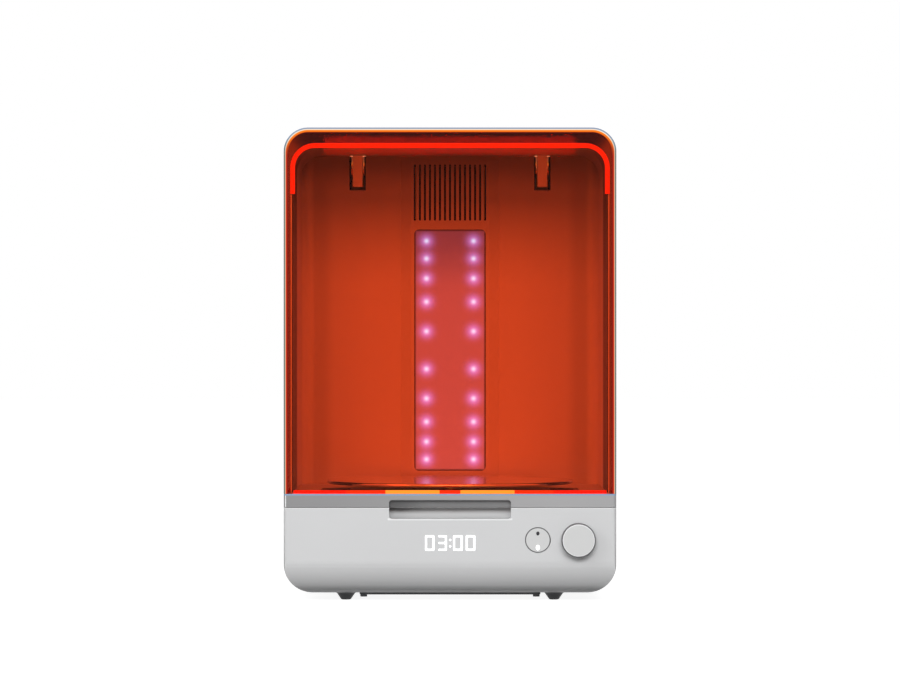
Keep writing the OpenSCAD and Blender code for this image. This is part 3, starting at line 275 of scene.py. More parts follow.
def base_material():
    """Grey moulding, with painted shade in the finger pull and on the turn underneath, and painted highlights on
    edges.
    """
    shop = Shop("base_grey")
    x, y, z, spot = shop.place()
    skin = shop.blend(shop.noise(spot, 14), shade(210, 211, 212), shade(214, 215, 216))
    # Painted shade in the finger pull, darkest at its left end.
    set_back = y.step(front_y + 0.6 * MM, front_y + 1.4 * MM)
    across = 1 - x.size().step(PULL_HALF + 0.8 * MM, PULL_HALF + 1.4 * MM)
    painted_pull_shade = set_back * no_deeper(y) * across * z.step(PULL_LOW + 1.5 * MM, base_high.z) * (
        painted_shade_left_end(x) * 0.55 + 0.3)
    skin = shop.blend(painted_pull_shade, skin, shade(50, 50, 51))
    # Painted highlights: rim marks a pale line under the finger pull and along the base's top edge.
    painted_lip_highlight = (1 - set_back) * across * z.step(PULL_LOW - 1.7 * MM, PULL_LOW - 1.4 * MM) * (
        1 - z.step(PULL_LOW - 0.1 * MM, PULL_LOW + 0.2 * MM))
    rim = (painted_lip_highlight + z.step(base_high.z - 0.7 * MM, base_high.z - 0.4 * MM)).least(1)
    skin = shop.blend(rim, skin, shade(240, 241, 242))
    # Painted shade: the lowest few millimetres of the turn underneath are darker.
    painted_under_shade = 1 - z.step(base_low.z - 1 * MM, base_low.z + 8 * MM)
    skin = shop.blend(painted_under_shade, skin, shade(78, 79, 81))
    return shop.done(shop.coat(
        Base_Color=skin,
        Roughness=shop.noise(spot, 60) * 0.12 + 0.4,
        Normal=shop.bump(shop.noise(spot, GRAIN_SCALE, 2), GRAIN_DEPTH)))


base_grey = base_material()
_, housing_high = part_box("rear_housing")
# The housing's inside gets near-black painted shade, so its vents look dark.
housing_grey = moulded("housing_grey", shade(212, 213, 214), 0.46, painted_shade_inside=(
    housing_high.x - 8 * MM, housing_high.y - 4 * MM, housing_high.z - 8 * MM))


def ringed(name, node, face, ring, ring_start, painted_highlight_start=None):
    """A round cap with a painted shade ring at its edge, and a painted highlight ring inside that."""
    low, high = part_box(node)
    shop = Shop(name)
    x, _, z, spot = shop.place()
    middle_x, middle_z = (low.x + high.x) / 2, (low.z + high.z) / 2
    out = ((x - middle_x) ** 2 + (z - middle_z) ** 2) ** 0.5
    skin = shop.blend(shop.noise(spot, 14), tinted(face, 0.98), tinted(face, 1.02))
    # Painted highlight: a pale ring just inside the edge.
    if painted_highlight_start:
        skin = shop.blend(out.step(painted_highlight_start, painted_highlight_start + 0.5 * MM), skin, shade(236, 237, 238))
    # Painted shade: a dark ring at the edge, where the chamfer and the gap round the cap lie in shade.
    skin = shop.blend(out.step(ring_start, ring_start + 0.15 * MM), skin, ring)
    return shop.done(shop.coat(Base_Color=skin, Roughness=0.36,
                               Normal=shop.bump(shop.noise(spot, GRAIN_SCALE, 2), 0.005 * MM)))


knob_grey = ringed("knob_grey", "knob_cap", shade(213, 214, 214), shade(92, 92, 95), 12.95 * MM, 12.1 * MM)
button_grey = ringed("button_grey", "start_button", shade(213, 214, 214), shade(110, 110, 112), 9.5 * MM)
mark_black = moulded("mark_black", shade(14, 12, 24), 0.3)
underside_grey = moulded("underside_grey", shade(92, 93, 95), 0.5)
black_plastic = moulded("black_plastic", shade(34, 35, 37), 0.42)
dark_plastic = moulded("dark_plastic", shade(62, 62, 64), 0.45)
foot_rubber = moulded("foot_rubber", shade(58, 60, 62), 0.6, 0.01 * MM, 900)
light_guide = moulded("light_guide", shade(232, 232, 230), 0.25)
circuit_green = moulded("circuit_green", shade(36, 92, 58), 0.3, coat=0.3)
board_white = moulded("board_white", shade(236, 236, 232), 0.35, coat=0.2)
print("plastics:", len(bpy.data.materials))

# %% [markdown]
# The metals differ in how they were made. Sheet is rolled, so its scratches run one way. Turned parts are
# bright. Castings and heatsinks are blasted, which scatters the light evenly.


# %% Metals
def metal(name, colour, roughness, stretch=(1, 1, 1), scale=500):
    """A bare metal. stretch draws its scratches out along one axis."""
    shop = Shop(name)
    _, _, _, spot = shop.place()
    lines = shop.noise(spot, scale, 2, stretch)
    clouds = shop.noise(spot, 25)
    return shop.done(shop.coat(
        Base_Color=shop.blend(clouds, tinted(colour, 0.94), tinted(colour, 1.04)),
        Metallic=1.0,
        Roughness=lines * 0.16 + (roughness - 0.08),
        Normal=shop.bump(lines, 0.004 * MM)))


steel_sheet = metal("steel_sheet", shade(176, 178, 182), 0.38, (1, 1, 0.04))
screw_steel = metal("screw_steel", shade(190, 192, 195), 0.3)
bright_steel = metal("bright_steel", shade(222, 223, 225), 0.16, (0.03, 0.03, 1))
blasted_aluminium = metal("blasted_aluminium", shade(202, 204, 206), 0.42, scale=1400)
# Near-black metal, painted shade for the inner parts that show through slots and vents.
black_metal_shade = metal("black_metal_shade", shade(14, 14, 15), 0.5, scale=1400)
turned_brass = metal("turned_brass", shade(200, 164, 88), 0.25)
print("plastics and metals:", len(bpy.data.materials))

# %% [markdown]
# The chamber is lined with a bright sheet that throws the lamps' light back at the work from every side. It is
# closer to white enamel than to a mirror: a satin layer over a pale ground.


# %% The chamber's lining
def enamel(shop, spot, colour, metallic):
    """The satin layer, with rolling lines in its gloss and its relief."""
    rolled = shop.noise(spot, 300, 2, (1, 1, 0.05))
    return shop.done(shop.coat(
        Base_Color=colour,
        Metallic=metallic,
        Roughness=rolled * 0.08 + 0.36,
        Normal=shop.bump(rolled, 0.003 * MM)))


def plain_sheet():
    """The turntable and the floor of the chamber."""
    shop = Shop("mirror_sheet")
    _, _, _, spot = shop.place()
    pale = shade(205, 205, 205)
    return enamel(shop, spot, shop.blend(shop.noise(spot, 6), tinted(pale, 0.98), tinted(pale, 1.02)), 0.2)


mirror_sheet = plain_sheet()
print("lining:", mirror_sheet.name)

# %% [markdown]
# The deep liner's colour carries painted light and shade. A painted shadow lies under its ceiling and along its front
# edge, where the seal and the hood would shade it, the far ends of its side walls are painted lighter, the back wall
# is painted darker near its corners, and the cut edges of its slots are painted near-black.

# %% The liner
_, liner_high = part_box("chamber_liner")
SHEET = 1.5 * MM
WALL_Y = liner_high.y - SHEET
PAD_Y = WALL_Y - 1.0 * MM
CEILING = liner_high.z - SHEET
VENT_HALF = 33.5 * MM


def liner_sheet():
    """Each mask is 1 where its name says, and lays one painted shade or painted light over the ones before."""
    shop = Shop("liner_sheet")
    x, y, z, spot = shop.place()
    inside = (1 - x.size().step(liner_high.x - 0.8 * MM, liner_high.x - 0.7 * MM)) * (
        1 - z.step(CEILING + 0.7 * MM, CEILING + 0.8 * MM))
    # Painted light: the far ends of the side walls are lighter.
    beside = x.size().step(liner_high.x - 13.7 * MM, liner_high.x - 2.7 * MM)
    # Painted shade: the back wall is darker near its corners.
    painted_corner_shade = x.size().step(liner_high.x - 32 * MM, liner_high.x - 19 * MM)
    # Painted shade: a dark band along the front of the side walls.
    painted_rim_shade = 1 - y.step(-6 * MM, 28 * MM)
    # Painted shadow under the ceiling, where the seal and the hood shade the wall.
    overhead = z.step(CEILING - 34 * MM, CEILING - 2 * MM)
    # Painted shade: near-black behind the wall's face, in the cut edges of the slots and the pad's step.
    vents = (1 - x.size().step(VENT_HALF, VENT_HALF + 0.1 * MM)) * (
        1 - z.step(CEILING - 5 * MM, CEILING - 4.9 * MM))
    behind = y.step(WALL_Y + 0.1 * MM, WALL_Y + 0.2 * MM).most(vents * y.step(PAD_Y + 0.1 * MM, PAD_Y + 0.2 * MM))
    colour = shop.blend(shop.noise(spot, 6), shade(204, 204, 204), shade(209, 209, 209))
    colour = shop.blend(painted_corner_shade, colour, shade(188, 188, 188))
    colour = shop.blend(beside, colour, shade(242, 242, 242))
    colour = shop.blend(overhead * inside, colour, shade(138, 138, 138))
    colour = shop.blend(beside * painted_rim_shade * inside, colour, shade(74, 74, 74))
    colour = shop.blend(behind, colour, PAINTED_SHADE_DARK)
    return enamel(shop, spot, colour, 0.15)


liner_finish = liner_sheet()
print("liner: wall", round(WALL_Y / MM, 1), "ceiling", round(CEILING / MM, 1), "mm")

# %% [markdown]
# The seal and the gasket under the front pane are red silicone. A painted glow, a little emission, makes them
# brighter than anything around them.

# %% Red silicone
# Painted glow, the emission of the seal and the gasket.
PAINTED_GLOW_RED = (1.0, 0.055, 0.0, 1)
PAINTED_GLOW = 0.6


def red_silicone():
    """The seal's front has a painted glow, and its flanks a near-black painted shade for the dark gap beside the
    liner.
    """
    low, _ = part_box("liner_seal")
    shop = Shop("seal_red")
    _, y, _, spot = shop.place()
    skin = shop.noise(spot, 700)
    # Painted shade: the flanks are near-black, for the dark gap beside the liner.
    painted_flank_shade = y.step(low.y + 0.2 * MM, low.y + 0.35 * MM)
    return shop.done(shop.coat(
        Base_Color=shop.blend(painted_flank_shade, shop.blend(skin, shade(190, 20, 6), shade(206, 28, 8)), shade(10, 4, 4)),
        Roughness=0.45,
        Emission_Color=shop.blend(painted_flank_shade, PAINTED_GLOW_RED, (0, 0, 0, 1)),
        Emission_Strength=PAINTED_GLOW,
        Normal=shop.bump(skin, 0.01 * MM)))


seal_red = red_silicone()
print("seal:", seal_red.name)

# %% [markdown]
# The band under the hood is moulded in two shots: a satin mid grey outside, and the red gasket on top, which
# shows through the foot of the front pane. Its top edge carries a painted cool reflection, its grey a painted sheen
# that grows lighter to the right and a painted highlight at the left end, and the gasket a painted glow.


# %% The two-shot band
# Half width of the gasket's painted orange glow.
PAINTED_ORANGE_HALF = 83 * MM


def band_material():
    """Within a set distance of the middle the gasket's painted glow is orange, and beyond it red."""
    shop = Shop("band_grey")
    x, y, z, spot = shop.place()
    gasket = z.step(hood_low.z - 0.05 * MM, hood_low.z + 0.05 * MM)
    # Painted reflection: a cool blue line along the top edge.
    painted_cool_reflection = z.step(hood_low.z - 1.6 * MM, hood_low.z - 1.1 * MM)
    # Painted sheen: the grey grows lighter from left to right.
    painted_sheen_to_right = x.step(-130 * MM, 105 * MM)
    grey = shop.blend(painted_sheen_to_right, shade(138, 138, 139), shade(171, 171, 172))
    grey = shop.blend(shop.noise(spot, 14) * 0.5, grey, tinted(shade(150, 150, 151), 1.02))
    # Painted highlight: a thin white line at the left end.
    painted_glint_line = x.step(-134.4 * MM, -134.1 * MM) * (1 - x.step(-133.6 * MM, -133.3 * MM))
    grey = shop.blend(painted_glint_line, grey, shade(248, 249, 250))
    # Painted shade in the finger pull, as in the base.
    painted_pull_shade = y.step(front_y + 0.5 * MM, front_y + 1.1 * MM) * no_deeper(y) * (
        1 - z.step(hood_low.z - 6.0 * MM, hood_low.z - 5.4 * MM)) * (1 - x.size().step(PULL_HALF, PULL_HALF + 2 * MM))
    grey = shop.blend(painted_pull_shade * (painted_shade_left_end(x) * 0.3 + 0.5), grey, shade(40, 40, 41))
    shell = shop.coat(
        Base_Color=shop.blend(painted_cool_reflection, grey, shade(136, 166, 196)),
        Roughness=0.38,
        Normal=shop.bump(shop.noise(spot, GRAIN_SCALE, 2), GRAIN_DEPTH))
    # Painted glow in the gasket: orange across the middle, red towards the ends.
    at_ends = x.size().step(PAINTED_ORANGE_HALF, PAINTED_ORANGE_HALF + 3 * MM)
    rubber = shop.coat(Base_Color=shade(204, 22, 6), Roughness=0.4,
                       Emission_Color=shop.blend(at_ends, (1, 0.14, 0.0, 1), (1, 0.02, 0.0, 1)),
                       Emission_Strength=PAINTED_GLOW)
    return shop.done(shop.mix(gasket, shell, rubber))


band_grey = band_material()
print("band:", band_grey.name)

# %% [markdown]
# The acrylic takes out the blue and most of the green. It is a filter twice over: room light is tinted on its way
# in and again on its way out, which is why a white chamber looks deep orange. A Transparent shader tints
# without bending, and it lets the lamps light the inside directly, so the picture stays free of noise.
# Along the front outline the pane meets the side walls, and there the joint is painted with reflection and glow:
# cool lines, then white, then bright orange.

# %% Orange acrylic
FILTER = (0.985, 0.526, 0.345, 1)
SIDE_FILTER = (0.48, 0.22, 0.16, 1)
TOP_FILTER = (0.19, 0.105, 0.16, 1)
HOOD_ROUND = 20 * MM
RIM = 4 * MM
RIM_DEPTH = 2.0 * MM
# Colours of the painted reflection and glow in the rim, from the outline inward, at the sides and at the top.
PAINTED_SIDE_LINES = [(0.0, (0, 24, 42)), (0.19, (0, 42, 64)), (0.27, (184, 196, 178)), (0.38, (204, 190, 152)),
              (0.46, (238, 88, 44)), (0.58, (224, 60, 24)), (0.68, (160, 22, 0)), (1.0, (98, 10, 2))]
PAINTED_TOP_LINES = [(0.0, (136, 152, 180)), (0.26, (150, 164, 186)), (0.34, (250, 244, 232)), (0.45, (252, 226, 180)),
             (0.53, (255, 132, 8)), (0.86, (255, 112, 0)), (0.93, (180, 44, 8)), (1.0, (50, 4, 12))]


def acrylic():
    """A tinted clear pane, a faint mirror on its outside, and painted lines of reflection and glow in its rim. depth
    is the distance from the hood's front outline."""
    shop = Shop("orange_acrylic")
    x, y, z, _ = shop.place()
    beside = x.size() - (half_w - HOOD_ROUND)
    above = z - (top_z - HOOD_ROUND)
    corner = (beside.most(0) ** 2 + above.most(0) ** 2) ** 0.5
    depth = HOOD_ROUND - corner - beside.most(above).least(0)
    # Painted reflection and glow in the rim: the joint is black and emits the lines.
    painted_rim_lines = (1 - depth.step(RIM - 0.2 * MM, RIM)) * (1 - y.step(front_y + RIM_DEPTH, front_y + RIM_DEPTH + 0.4 * MM))
    overhead = above.step(-4 * MM, 16 * MM)
    lines = shop.blend(overhead, *(shop.ramp(depth / RIM, [(place, shade(*colour)[:3]) for place, colour in stops])
                                   for stops in (PAINTED_SIDE_LINES, PAINTED_TOP_LINES)))
    grazing = shop.add("ShaderNodeLayerWeight", None, {"Blend": 0.5}, "Facing").step(0.6, 0.95)
    front_pass, side_pass, top_pass = (
        shop.add("ShaderNodeBsdfTransparent", None, {"Color": tint}) for tint in (FILTER, SIDE_FILTER, TOP_FILTER))
    clear = shop.mix(grazing, front_pass, shop.mix(above.step(8 * MM, 18 * MM), side_pass, top_pass))
    outside = 1 - depth.least(y - front_y).step(0.4 * MM, 0.6 * MM)
    facing_out = 1 - shop.add("ShaderNodeNewGeometry", out="Backfacing")
    gloss = shop.add("ShaderNodeBsdfGlossy", None, {"Color": (1.0, 0.3, 0.2, 1), "Roughness": 0.02})
    pane = shop.mix(shop.add("ShaderNodeFresnel", None, {"IOR": 1.3}) * outside * facing_out, clear, gloss)
    edge = shop.coat(Base_Color=(0, 0, 0, 1), Roughness=0.2, Specular_IOR_Level=0.1,
                     Emission_Color=lines, Emission_Strength=1.0)
    return shop.done(shop.mix(painted_rim_lines, pane, edge))


orange_acrylic = acrylic()
print("acrylic seen through twice:", [round(part ** 2, 2) for part in FILTER[:3]])

# %% [markdown]
# Twenty lamps sit in two columns behind a faintly milky window, so each one shows as a white heart in a violet
# halo. The halo is a bell-shaped falloff with distance from the nearest lamps. Violet light hardly passes the
# orange hood, so the blue part is many times brighter than it looks from outside.

# %% Lamps and their window
window_low, window_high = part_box("lamp_window")
FLANGE = 3.0 * MM
pane_half_w = window_high.x - FLANGE
pane_mid_z = (window_low.z + window_high.z) / 2
pane_half_h = (window_high.z - window_low.z) / 2 - FLANGE
LAMP_COLUMN = 20.6 * MM
LAMP_STEPS = [share * pane_half_h for share in (0.156, 0.401, 0.594, 0.759, 0.905)]
HALO = (0.055, 0.075, 0.58, 1)
HALO_SPREAD = 5.4 * MM
HEART = (0.08, 0.32, 1.0, 1)
HEART_SPREAD = 1.9 * MM
UNLIT = (0.012, 0.006, 0.03, 1)


def lit_window():
    shop = Shop("lit_window")
    x, _, z, spot = shop.place()
    across = x.size() - LAMP_COLUMN
    along = (z - pane_mid_z).size()
    halo = heart = None
    for step in LAMP_STEPS:
        near = across ** 2 + (along - step) ** 2
        wide, tight = near.bell(HALO_SPREAD), near.bell(HEART_SPREAD)
        halo, heart = (halo + wide, heart + tight) if halo else (wide, tight)
    rim = (pane_half_w - x.size()).least(pane_half_h - along).step(0.2 * MM, 2.2 * MM)
    colour = shop.blend(heart.least(1), shop.blend(halo.least(1), UNLIT, HALO), HEART)
    # The window's pale milky ground, with painted shade making its upper part darker.
    milky_with_painted_shade = shop.blend(z.step(250 * MM, 312 * MM), shade(206, 212, 222), shade(150, 154, 164))
    return shop.done(shop.coat(
        Base_Color=shop.blend(rim, shade(60, 56, 66), milky_with_painted_shade),
        Roughness=0.3,
        Emission_Color=shop.blend(rim, (0, 0, 0, 1), colour),
        Emission_Strength=8.0,
        Normal=shop.bump(shop.noise(spot, 500), 0.003 * MM)))


def lamp_glow():
    shop = Shop("lamp_glow")
    _, _, _, spot = shop.place()
    return shop.done(shop.coat(
        Base_Color=shop.blend(shop.noise(spot, 400), shade(235, 225, 150), shade(250, 240, 180)),
        Roughness=0.2, Emission_Color=HEART, Emission_Strength=4.0))


window_pane = lit_window()
lamp_body = lamp_glow()
print("lamps:", len(LAMP_STEPS) * 4)

# %% [markdown]
# Two short strips lie on the lip behind the pane. They are the brightest thing at the foot of the hood, so they
# get a pale surface with a slight painted glow.


# %% Strips on the lip
def lip_strip():
    shop = Shop("lip_strip")
    _, _, _, spot = shop.place()
    # Painted glow: the strips emit a little light though they are no lamps.
    return shop.done(shop.coat(
        Base_Color=shop.blend(shop.noise(spot, 300), shade(245, 240, 200), shade(255, 250, 214)),
        Roughness=0.25, Emission_Color=(0.7, 1.0, 0.16, 1), Emission_Strength=1.1))


strip_white = lip_strip()
print("strips:", strip_white.name)

# %% [markdown]
# Every solid now gets the finish of its own stuff, by the name of its material in the record. Assigning a
# material to a solid's slots changes nothing of its shape.

# %% Give every solid its finish
finish_of = {
    "base_plastic": base_grey, "band_plastic": band_grey, "hood_acrylic": orange_acrylic,
    "mirror_sheet": mirror_sheet, "seal_rubber": seal_red, "foot_rubber": foot_rubber,
    "steel_sheet": steel_sheet, "screw_steel": screw_steel, "bright_steel": bright_steel,
    "aluminium": blasted_aluminium, "brass": turned_brass, "black_plastic": black_plastic,
    "dark_plastic": dark_plastic, "window_pane": window_pane, "circuit_green": circuit_green,
    "board_white": board_white, "lamp_body": lamp_body, "light_guide": light_guide,
    "knob_plastic": knob_grey, "button_plastic": button_grey, "strip_white": strip_white,
}


def give(piece, material):
    piece.data.materials.clear()
    piece.data.materials.append(material)


own_finish = {"rear_housing": housing_grey, "chamber_liner": liner_finish, "bottom_cover": underside_grey,
              "bottom_cover_screws": underside_grey}
# The inner parts below get that near-black metal, painted shade, so slots and vents look dark.
for inside in ("heater", "circulation_fan_frame", "circulation_fan_rotor", "heatsink", "heatsink_screws",
               "fan_screws", "hinge_brackets", "hinge_screws", "chassis_plate", "chassis_screws"):
    own_finish[inside] = black_metal_shade
for node, solid in frame["nodes"].items():
    give(solid, own_finish.get(node) or finish_of[slot_of[node]])
print("finishes:", len(finish_of) + len(own_finish))

# %% [markdown]
# No moulding has knife edges. Each outer solid is copied, its loose triangles are merged into whole faces, and a
# narrow bevel eases every sharp edge. The copy stands in for the plain solid, which stays in the frame.


# %% Eased copies of the outer solids
def alone(piece):
    """Selects one object and nothing else."""
    bpy.ops.object.select_all(action="DESELECT")
    piece.select_set(True)
    bpy.context.view_layer.objects.active = piece


def put(piece, node):
    """The piece rides with the node's body."""
    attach(piece, body_of[node])
    return piece


def eased(node, width):
    """A copy of a node's solid with its sharp edges bevelled, shown in its place."""
    mesh = frame["nodes"][node].data.copy()
    piece = bpy.data.objects.new(node + "_eased", mesh)
    bpy.context.scene.collection.objects.link(piece)
    alone(piece)
    bpy.ops.object.mode_set(mode="EDIT")
    bpy.ops.mesh.select_all(action="SELECT")
    bpy.ops.mesh.remove_doubles(threshold=0.002 * MM)
    bpy.ops.mesh.dissolve_limited(angle_limit=math.radians(0.4))
    bpy.ops.object.mode_set(mode="OBJECT")
    bevel = piece.modifiers.new("ease", "BEVEL")
    bevel.width = width
    bevel.segments = 2
    bevel.limit_method = "ANGLE"
    bevel.angle_limit = math.radians(35)
    bevel.use_clamp_overlap = True
    bevel.miter_outer = "MITER_ARC"
    bpy.ops.object.modifier_apply(modifier="ease")
    bpy.ops.object.shade_smooth_by_angle(angle=math.radians(30))
    even = piece.modifiers.new("even", "WEIGHTED_NORMAL")
    even.keep_sharp = True
    bpy.ops.object.modifier_apply(modifier="even")
    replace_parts(put(piece, node), node)
    return piece


ease_widths = {
    "base_shell": 0.6, "hood_band": 0.3, "hood_shell": 0.3, "rear_housing": 0.6, "rear_cover": 0.4,
    "knob_cap": 0.5, "start_button": 0.4, "rubber_feet": 0.4, "chamber_floor": 0.3, "lip_strips": 0.3,
    "mains_inlet": 0.4, "power_rocker": 0.3, "switch_housing": 0.3, "floor_vent_left": 0.2,
    "floor_vent_right": 0.2, "bottom_cover": 0.3,
}
eased_pieces = {node: eased(node, width * MM) for node, width in ease_widths.items()}
print("eased:", {node: len(piece.data.polygons) for node, piece in eased_pieces.items()})

# %% [markdown]
# A block of open black foam fills the gap between the upper fan and the rear cover, so no daylight shows through
# the vents: a dark piece put where there is only shade. A block with eased edges is enough for it.

# %% Black foam behind the upper fan, a dark block put where there is shade
fan_low, fan_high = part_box("circulation_fan_frame")
FOAM_THICK = 2 * MM
FOAM_GAP = 0.6 * MM
bpy.ops.object.select_all(action="DESELECT")
bpy.ops.mesh.primitive_cube_add(size=1)
shade_foam = bpy.context.object
shade_foam.name = "shade_foam"
for corner in shade_foam.data.vertices:
    corner.co = (corner.co.x * (fan_high.x - fan_low.x), fan_high.y + FOAM_GAP + (0.5 + corner.co.y) * FOAM_THICK,
                 (fan_low.z + fan_high.z) / 2 + corner.co.z * (fan_high.z - fan_low.z))
softened = shade_foam.modifiers.new("ease", "BEVEL")
softened.width = 0.4 * MM
softened.segments = 2
alone(shade_foam)
bpy.ops.object.modifier_apply(modifier="ease")
bpy.ops.object.shade_smooth_by_angle(angle=math.radians(30))
give(shade_foam, moulded("black_foam", shade(16, 16, 17), 0.8, 0.3 * MM, 420))
put(shade_foam, "circulation_fan_frame")
print("filter", [round(side / MM, 1) for side in shade_foam.dimensions], "mm")

# %% [markdown]
# The time read-out shines through the moulding, with no window around it. Each figure starts as a grid whose
# rows and columns are the strokes and the gaps between them. The gaps are deleted, the rest is dissolved into
# one face, its corners are rounded, and it is given a hair's thickness on the front face.

# %% The time read-out
key_low, key_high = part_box("start_button")
KEY_X = (key_low.x + key_high.x) / 2
KEY_Z = (key_low.z + key_high.z) / 2
FIGURE_LOW = KEY_Z - 8.75 * MM
FIGURE_HIGH = KEY_Z + 3.8 * MM
STROKE = 1.6 * MM
FIGURE_PROUD = 0.12 * MM
FIGURE_SUNK = 0.05 * MM
ZERO = ["111", "101", "111"]
THREE = ["11", "01", "11", "01", "11"]
figures = [(ZERO, -20.3, -12.7), (THREE, -9.6, -2.5), (ZERO, 2.5, 10.3), (ZERO, 12.8, 20.6)]


def cuts_along(start, end, count):
    """Places of the cuts up a figure. Every other row is a stroke, and the gaps between share the rest."""
    strokes = (count + 1) // 2
    gap = (end - start - strokes * STROKE) / (count - strokes)
    cuts = [start]
    for i in range(count):
        cuts.append(cuts[-1] + (gap if i % 2 else STROKE))
    return cuts


def figure(name, rows, left, right):
    """One figure of the read-out, from its rows of strokes and gaps, top row first."""
    columns = len(rows[0])
    if columns == 3:
        xs = [left, left + STROKE, right - STROKE, right]
    else:
        xs = [left, right - STROKE, right]
    zs = cuts_along(FIGURE_LOW, FIGURE_HIGH, len(rows))
    bpy.ops.object.select_all(action="DESELECT")
    bpy.ops.mesh.primitive_grid_add(x_subdivisions=columns, y_subdivisions=len(rows), size=2)
    piece = bpy.context.object
    piece.name = name
    for vertex in piece.data.vertices:
        column = round((vertex.co.x + 1) / 2 * columns)
        row = round((vertex.co.y + 1) / 2 * len(rows))
        vertex.co = (xs[column], front_y + FIGURE_SUNK, zs[row])
    alone(piece)
    bpy.ops.object.mode_set(mode="EDIT")
    bpy.ops.mesh.select_mode(type="FACE")
    bpy.ops.mesh.select_all(action="DESELECT")
    bpy.ops.object.mode_set(mode="OBJECT")
    for face in piece.data.polygons:
        column = sum(face.center.x > x for x in xs[1:-1])
        row = sum(face.center.z > z for z in zs[1:-1])
        face.select = rows[len(rows) - 1 - row][column] == "0"
    bpy.ops.object.mode_set(mode="EDIT")
    bpy.ops.mesh.delete(type="FACE")
    bpy.ops.mesh.select_all(action="SELECT")
    bpy.ops.mesh.normals_make_consistent(inside=False)
    bpy.ops.mesh.extrude_region_move(TRANSFORM_OT_translate={"value": (0, -FIGURE_PROUD - FIGURE_SUNK, 0)})
    bpy.ops.mesh.select_all(action="SELECT")
    bpy.ops.mesh.normals_make_consistent(inside=False)
    bpy.ops.mesh.dissolve_limited(angle_limit=math.radians(1))
    bpy.ops.object.mode_set(mode="OBJECT")
    return piece


def read_out_light():
    shop = Shop("read_out_light")
    _, _, _, spot = shop.place()
    return shop.done(shop.coat(
        Base_Color=shop.blend(shop.noise(spot, 300), shade(246, 248, 250), shade(255, 255, 255)),
        Roughness=0.4, Emission_Color=(0.97, 0.99, 1.0, 1), Emission_Strength=0.6))


figure_light = read_out_light()


def round_corners(piece, radius):
    """Rounds the upright edges of a thin plate that stands in the front plane."""
    alone(piece)
    bpy.ops.object.mode_set(mode="EDIT")
    bpy.ops.mesh.select_mode(type="EDGE")
    bpy.ops.mesh.select_all(action="DESELECT")
    bpy.ops.object.mode_set(mode="OBJECT")
    points = piece.data.vertices
    for edge in piece.data.edges:
        first, second = (points[i].co for i in edge.vertices)
        edge.select = abs(first.y - second.y) > 0.01 * MM
    bpy.ops.object.mode_set(mode="EDIT")
    bpy.ops.mesh.bevel(offset=radius, segments=4, affect="EDGES")
    bpy.ops.object.mode_set(mode="OBJECT")


for number, (rows, left, right) in enumerate(figures):
    glyph = figure("read_out_%d" % (number + 1), rows, left * MM, right * MM)
    round_corners(glyph, 0.75 * MM)
    give(glyph, figure_light)
    put(glyph, "display_light_guide")


def dot(name, x, z, half_x, half_z, y, thick, material, node):
    """A shallow round lens on the front: a cylinder with its front rim rounded over."""
    bpy.ops.object.select_all(action="DESELECT")
    bpy.ops.mesh.primitive_cylinder_add(vertices=32, radius=1, depth=1)
    piece = bpy.context.object
    piece.name = name
    for vertex in piece.data.vertices:
        side, up, out = vertex.co
        vertex.co = (x + side * half_x, y - (out + 0.5) * thick, z + up * half_z)
    alone(piece)
    bpy.ops.object.mode_set(mode="EDIT")
    bpy.ops.mesh.select_mode(type="EDGE")
    bpy.ops.mesh.select_all(action="DESELECT")
    bpy.ops.object.mode_set(mode="OBJECT")
    front = min(vertex.co.y for vertex in piece.data.vertices)
    for edge in piece.data.edges:
        edge.select = all(abs(piece.data.vertices[i].co.y - front) < 1e-6 for i in edge.vertices)
    bpy.ops.object.mode_set(mode="EDIT")
    bpy.ops.mesh.bevel(offset=thick * 0.6, segments=3)
    bpy.ops.mesh.select_all(action="SELECT")
    bpy.ops.mesh.normals_make_consistent(inside=False)
    bpy.ops.object.mode_set(mode="OBJECT")
    bpy.ops.object.shade_smooth_by_angle(angle=math.radians(40))
    give(piece, material)
    return put(piece, node)


COLON_X = 0.15 * MM
for number, drop in enumerate((5.2, 0)):
    dot("read_out_dot_%d" % (number + 1), COLON_X, KEY_Z - drop * MM, 0.95 * MM, 0.95 * MM,
        front_y + FIGURE_SUNK, FIGURE_PROUD + FIGURE_SUNK, figure_light, "display_light_guide")
print("read-out:", len(figures), "figures and 2 dots")

# %% [markdown]
# The start key carries a small dark mark near its top and a lit dot near its foot, each set in a shallow dimple.

# %% Marks on the start key
dot("start_mark", KEY_X, KEY_Z + 5.3 * MM, 1.3 * MM, 1.75 * MM, front_y + 0.25 * MM, 0.3 * MM,
    mark_black, "start_button")
dot("start_light", KEY_X, KEY_Z - 6.2 * MM, 1.65 * MM, 2.2 * MM, front_y + 0.25 * MM, 0.35 * MM,
    figure_light, "start_button")
print("key at", round(KEY_X / MM, 1), round(KEY_Z / MM, 1), "mm")

# %% [markdown]
# The unit stands on a pale floor in front of a white room. The floor and the room are white where the camera or
# a shiny surface looks at them, and dimmer as a source of light, so that the grey plastic keeps its own colour.

# %% Floor and room
ROOM_LIGHT = 0.24


def looked_at(shop):
    """1 where the camera, a reflection or a view through glass meets the surface."""
    path = shop.tree.nodes.new("ShaderNodeLightPath")
    seen = [Wire(shop, path.outputs[name]) for name in ("Is Camera Ray", "Is Glossy Ray", "Is Transmission Ray")]
    return (seen[0] + seen[1] + seen[2]).least(1)


def room():
    shop = Shop("room", world=True)
    seen = looked_at(shop)
    white = shop.add("ShaderNodeBackground", None, {"Color": (1, 1, 1, 1), "Strength": 1.0})
    light = shop.add("ShaderNodeBackground", None, {"Color": (1, 0.99, 0.98, 1), "Strength": ROOM_LIGHT})
    return shop.done(shop.mix(seen, light, white))


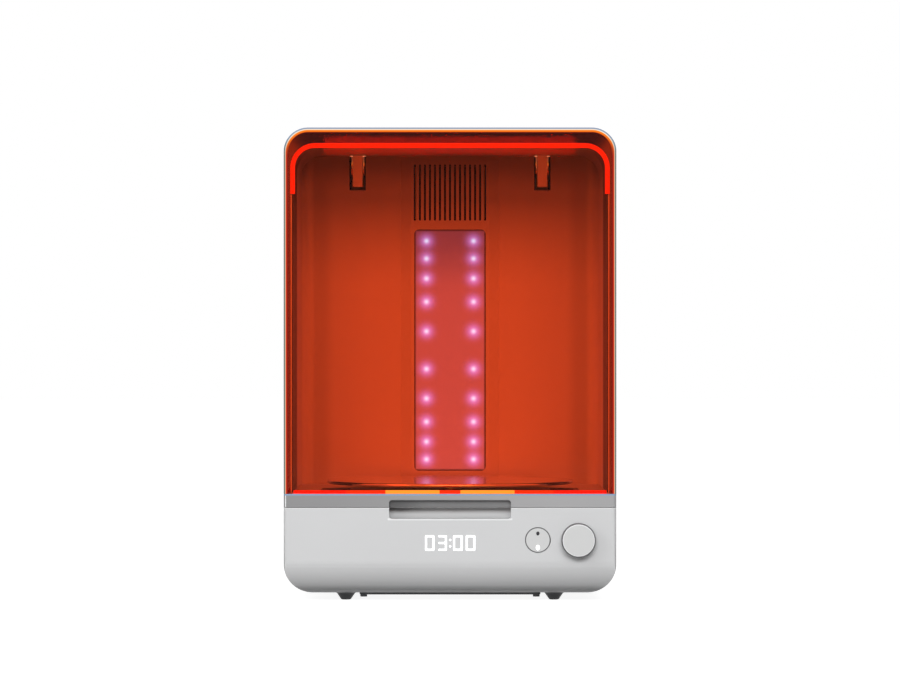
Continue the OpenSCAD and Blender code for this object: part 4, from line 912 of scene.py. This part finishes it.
def floor_material():
    shop = Shop("pale_floor")
    seen = looked_at(shop)
    dim = shop.add("ShaderNodeBsdfDiffuse", None, {"Color": (0.3, 0.3, 0.3, 1)})
    pale = shop.add("ShaderNodeBsdfDiffuse", None, {"Color": (0.45, 0.45, 0.45, 1)})
    lift = shop.add("ShaderNodeEmission", None, {"Color": (1, 1, 1, 1), "Strength": 0.9})
    bright = shop.add("ShaderNodeAddShader", None, {0: pale, 1: lift})
    return shop.done(shop.mix(seen, dim, bright))


bpy.context.scene.world = room()
bpy.ops.object.select_all(action="DESELECT")
bpy.ops.mesh.primitive_plane_add(size=16, location=(0, 2, 0))
floor = bpy.context.object
floor.name = "floor"
give(floor, floor_material())
print("floor and room ready")

# %% [markdown]
# Three large soft lamps light the unit: a broad one in front, a long one overhead, and a weaker one from the
# left that gives the knob its shadow on the right.


# %% Studio lamps
def soft_lamp(name, place, target, width, height, watts):
    data = bpy.data.lights.new(name, "AREA")
    data.shape = "RECTANGLE"
    data.size, data.size_y, data.energy = width, height, watts
    lamp = bpy.data.objects.new(name, data)
    lamp.location = place
    lamp.rotation_euler = (Vector(target) - Vector(place)).to_track_quat("-Z", "Y").to_euler()
    bpy.context.scene.collection.objects.link(lamp)
    return lamp


middle = (0, 0, top_z / 2)
soft_lamp("front_lamp", (0.1, -3.3, 1.6), middle, 2.6, 1.2, 80)
soft_lamp("top_lamp", (0, -0.4, 2.6), middle, 2.4, 2.0, 22)
soft_lamp("left_lamp", (-2.0, -1.6, 1.3), middle, 1.0, 1.4, 14)
print("studio lamps:", len(bpy.data.lights))

# %% [markdown]
# The room has one long ceiling light behind the camera, and the front pane mirrors it as a red bar over the seal.
# It is seen only by reflections, so it adds no light elsewhere.

# %% The mirrored ceiling light
MIRRORED_Z = top_z - 14.65 * MM
strip = soft_lamp("mirrored_strip", (0, front_y - VIEW_DISTANCE, 2 * MIRRORED_Z - EYE_HEIGHT),
                  (0, front_y, MIRRORED_Z), 0.41, 0.028, 0.5)
strip.data.color = (1.0, 0.03, 0.0)
strip.visible_diffuse = strip.visible_transmission = strip.visible_camera = False
print("bar mirrored at", round(MIRRORED_Z / MM, 1), "mm")

# %% [markdown]
# The colours were chosen as they look on a screen, so the plain Standard view shows them. A filmic view would
# soften the bright reds and turn the white background grey.

# %% Colours as they are written
bpy.context.scene.view_settings.view_transform = "Standard"
print("view:", bpy.context.scene.view_settings.view_transform)

# %% [markdown]

# %% Finish
print("finished")
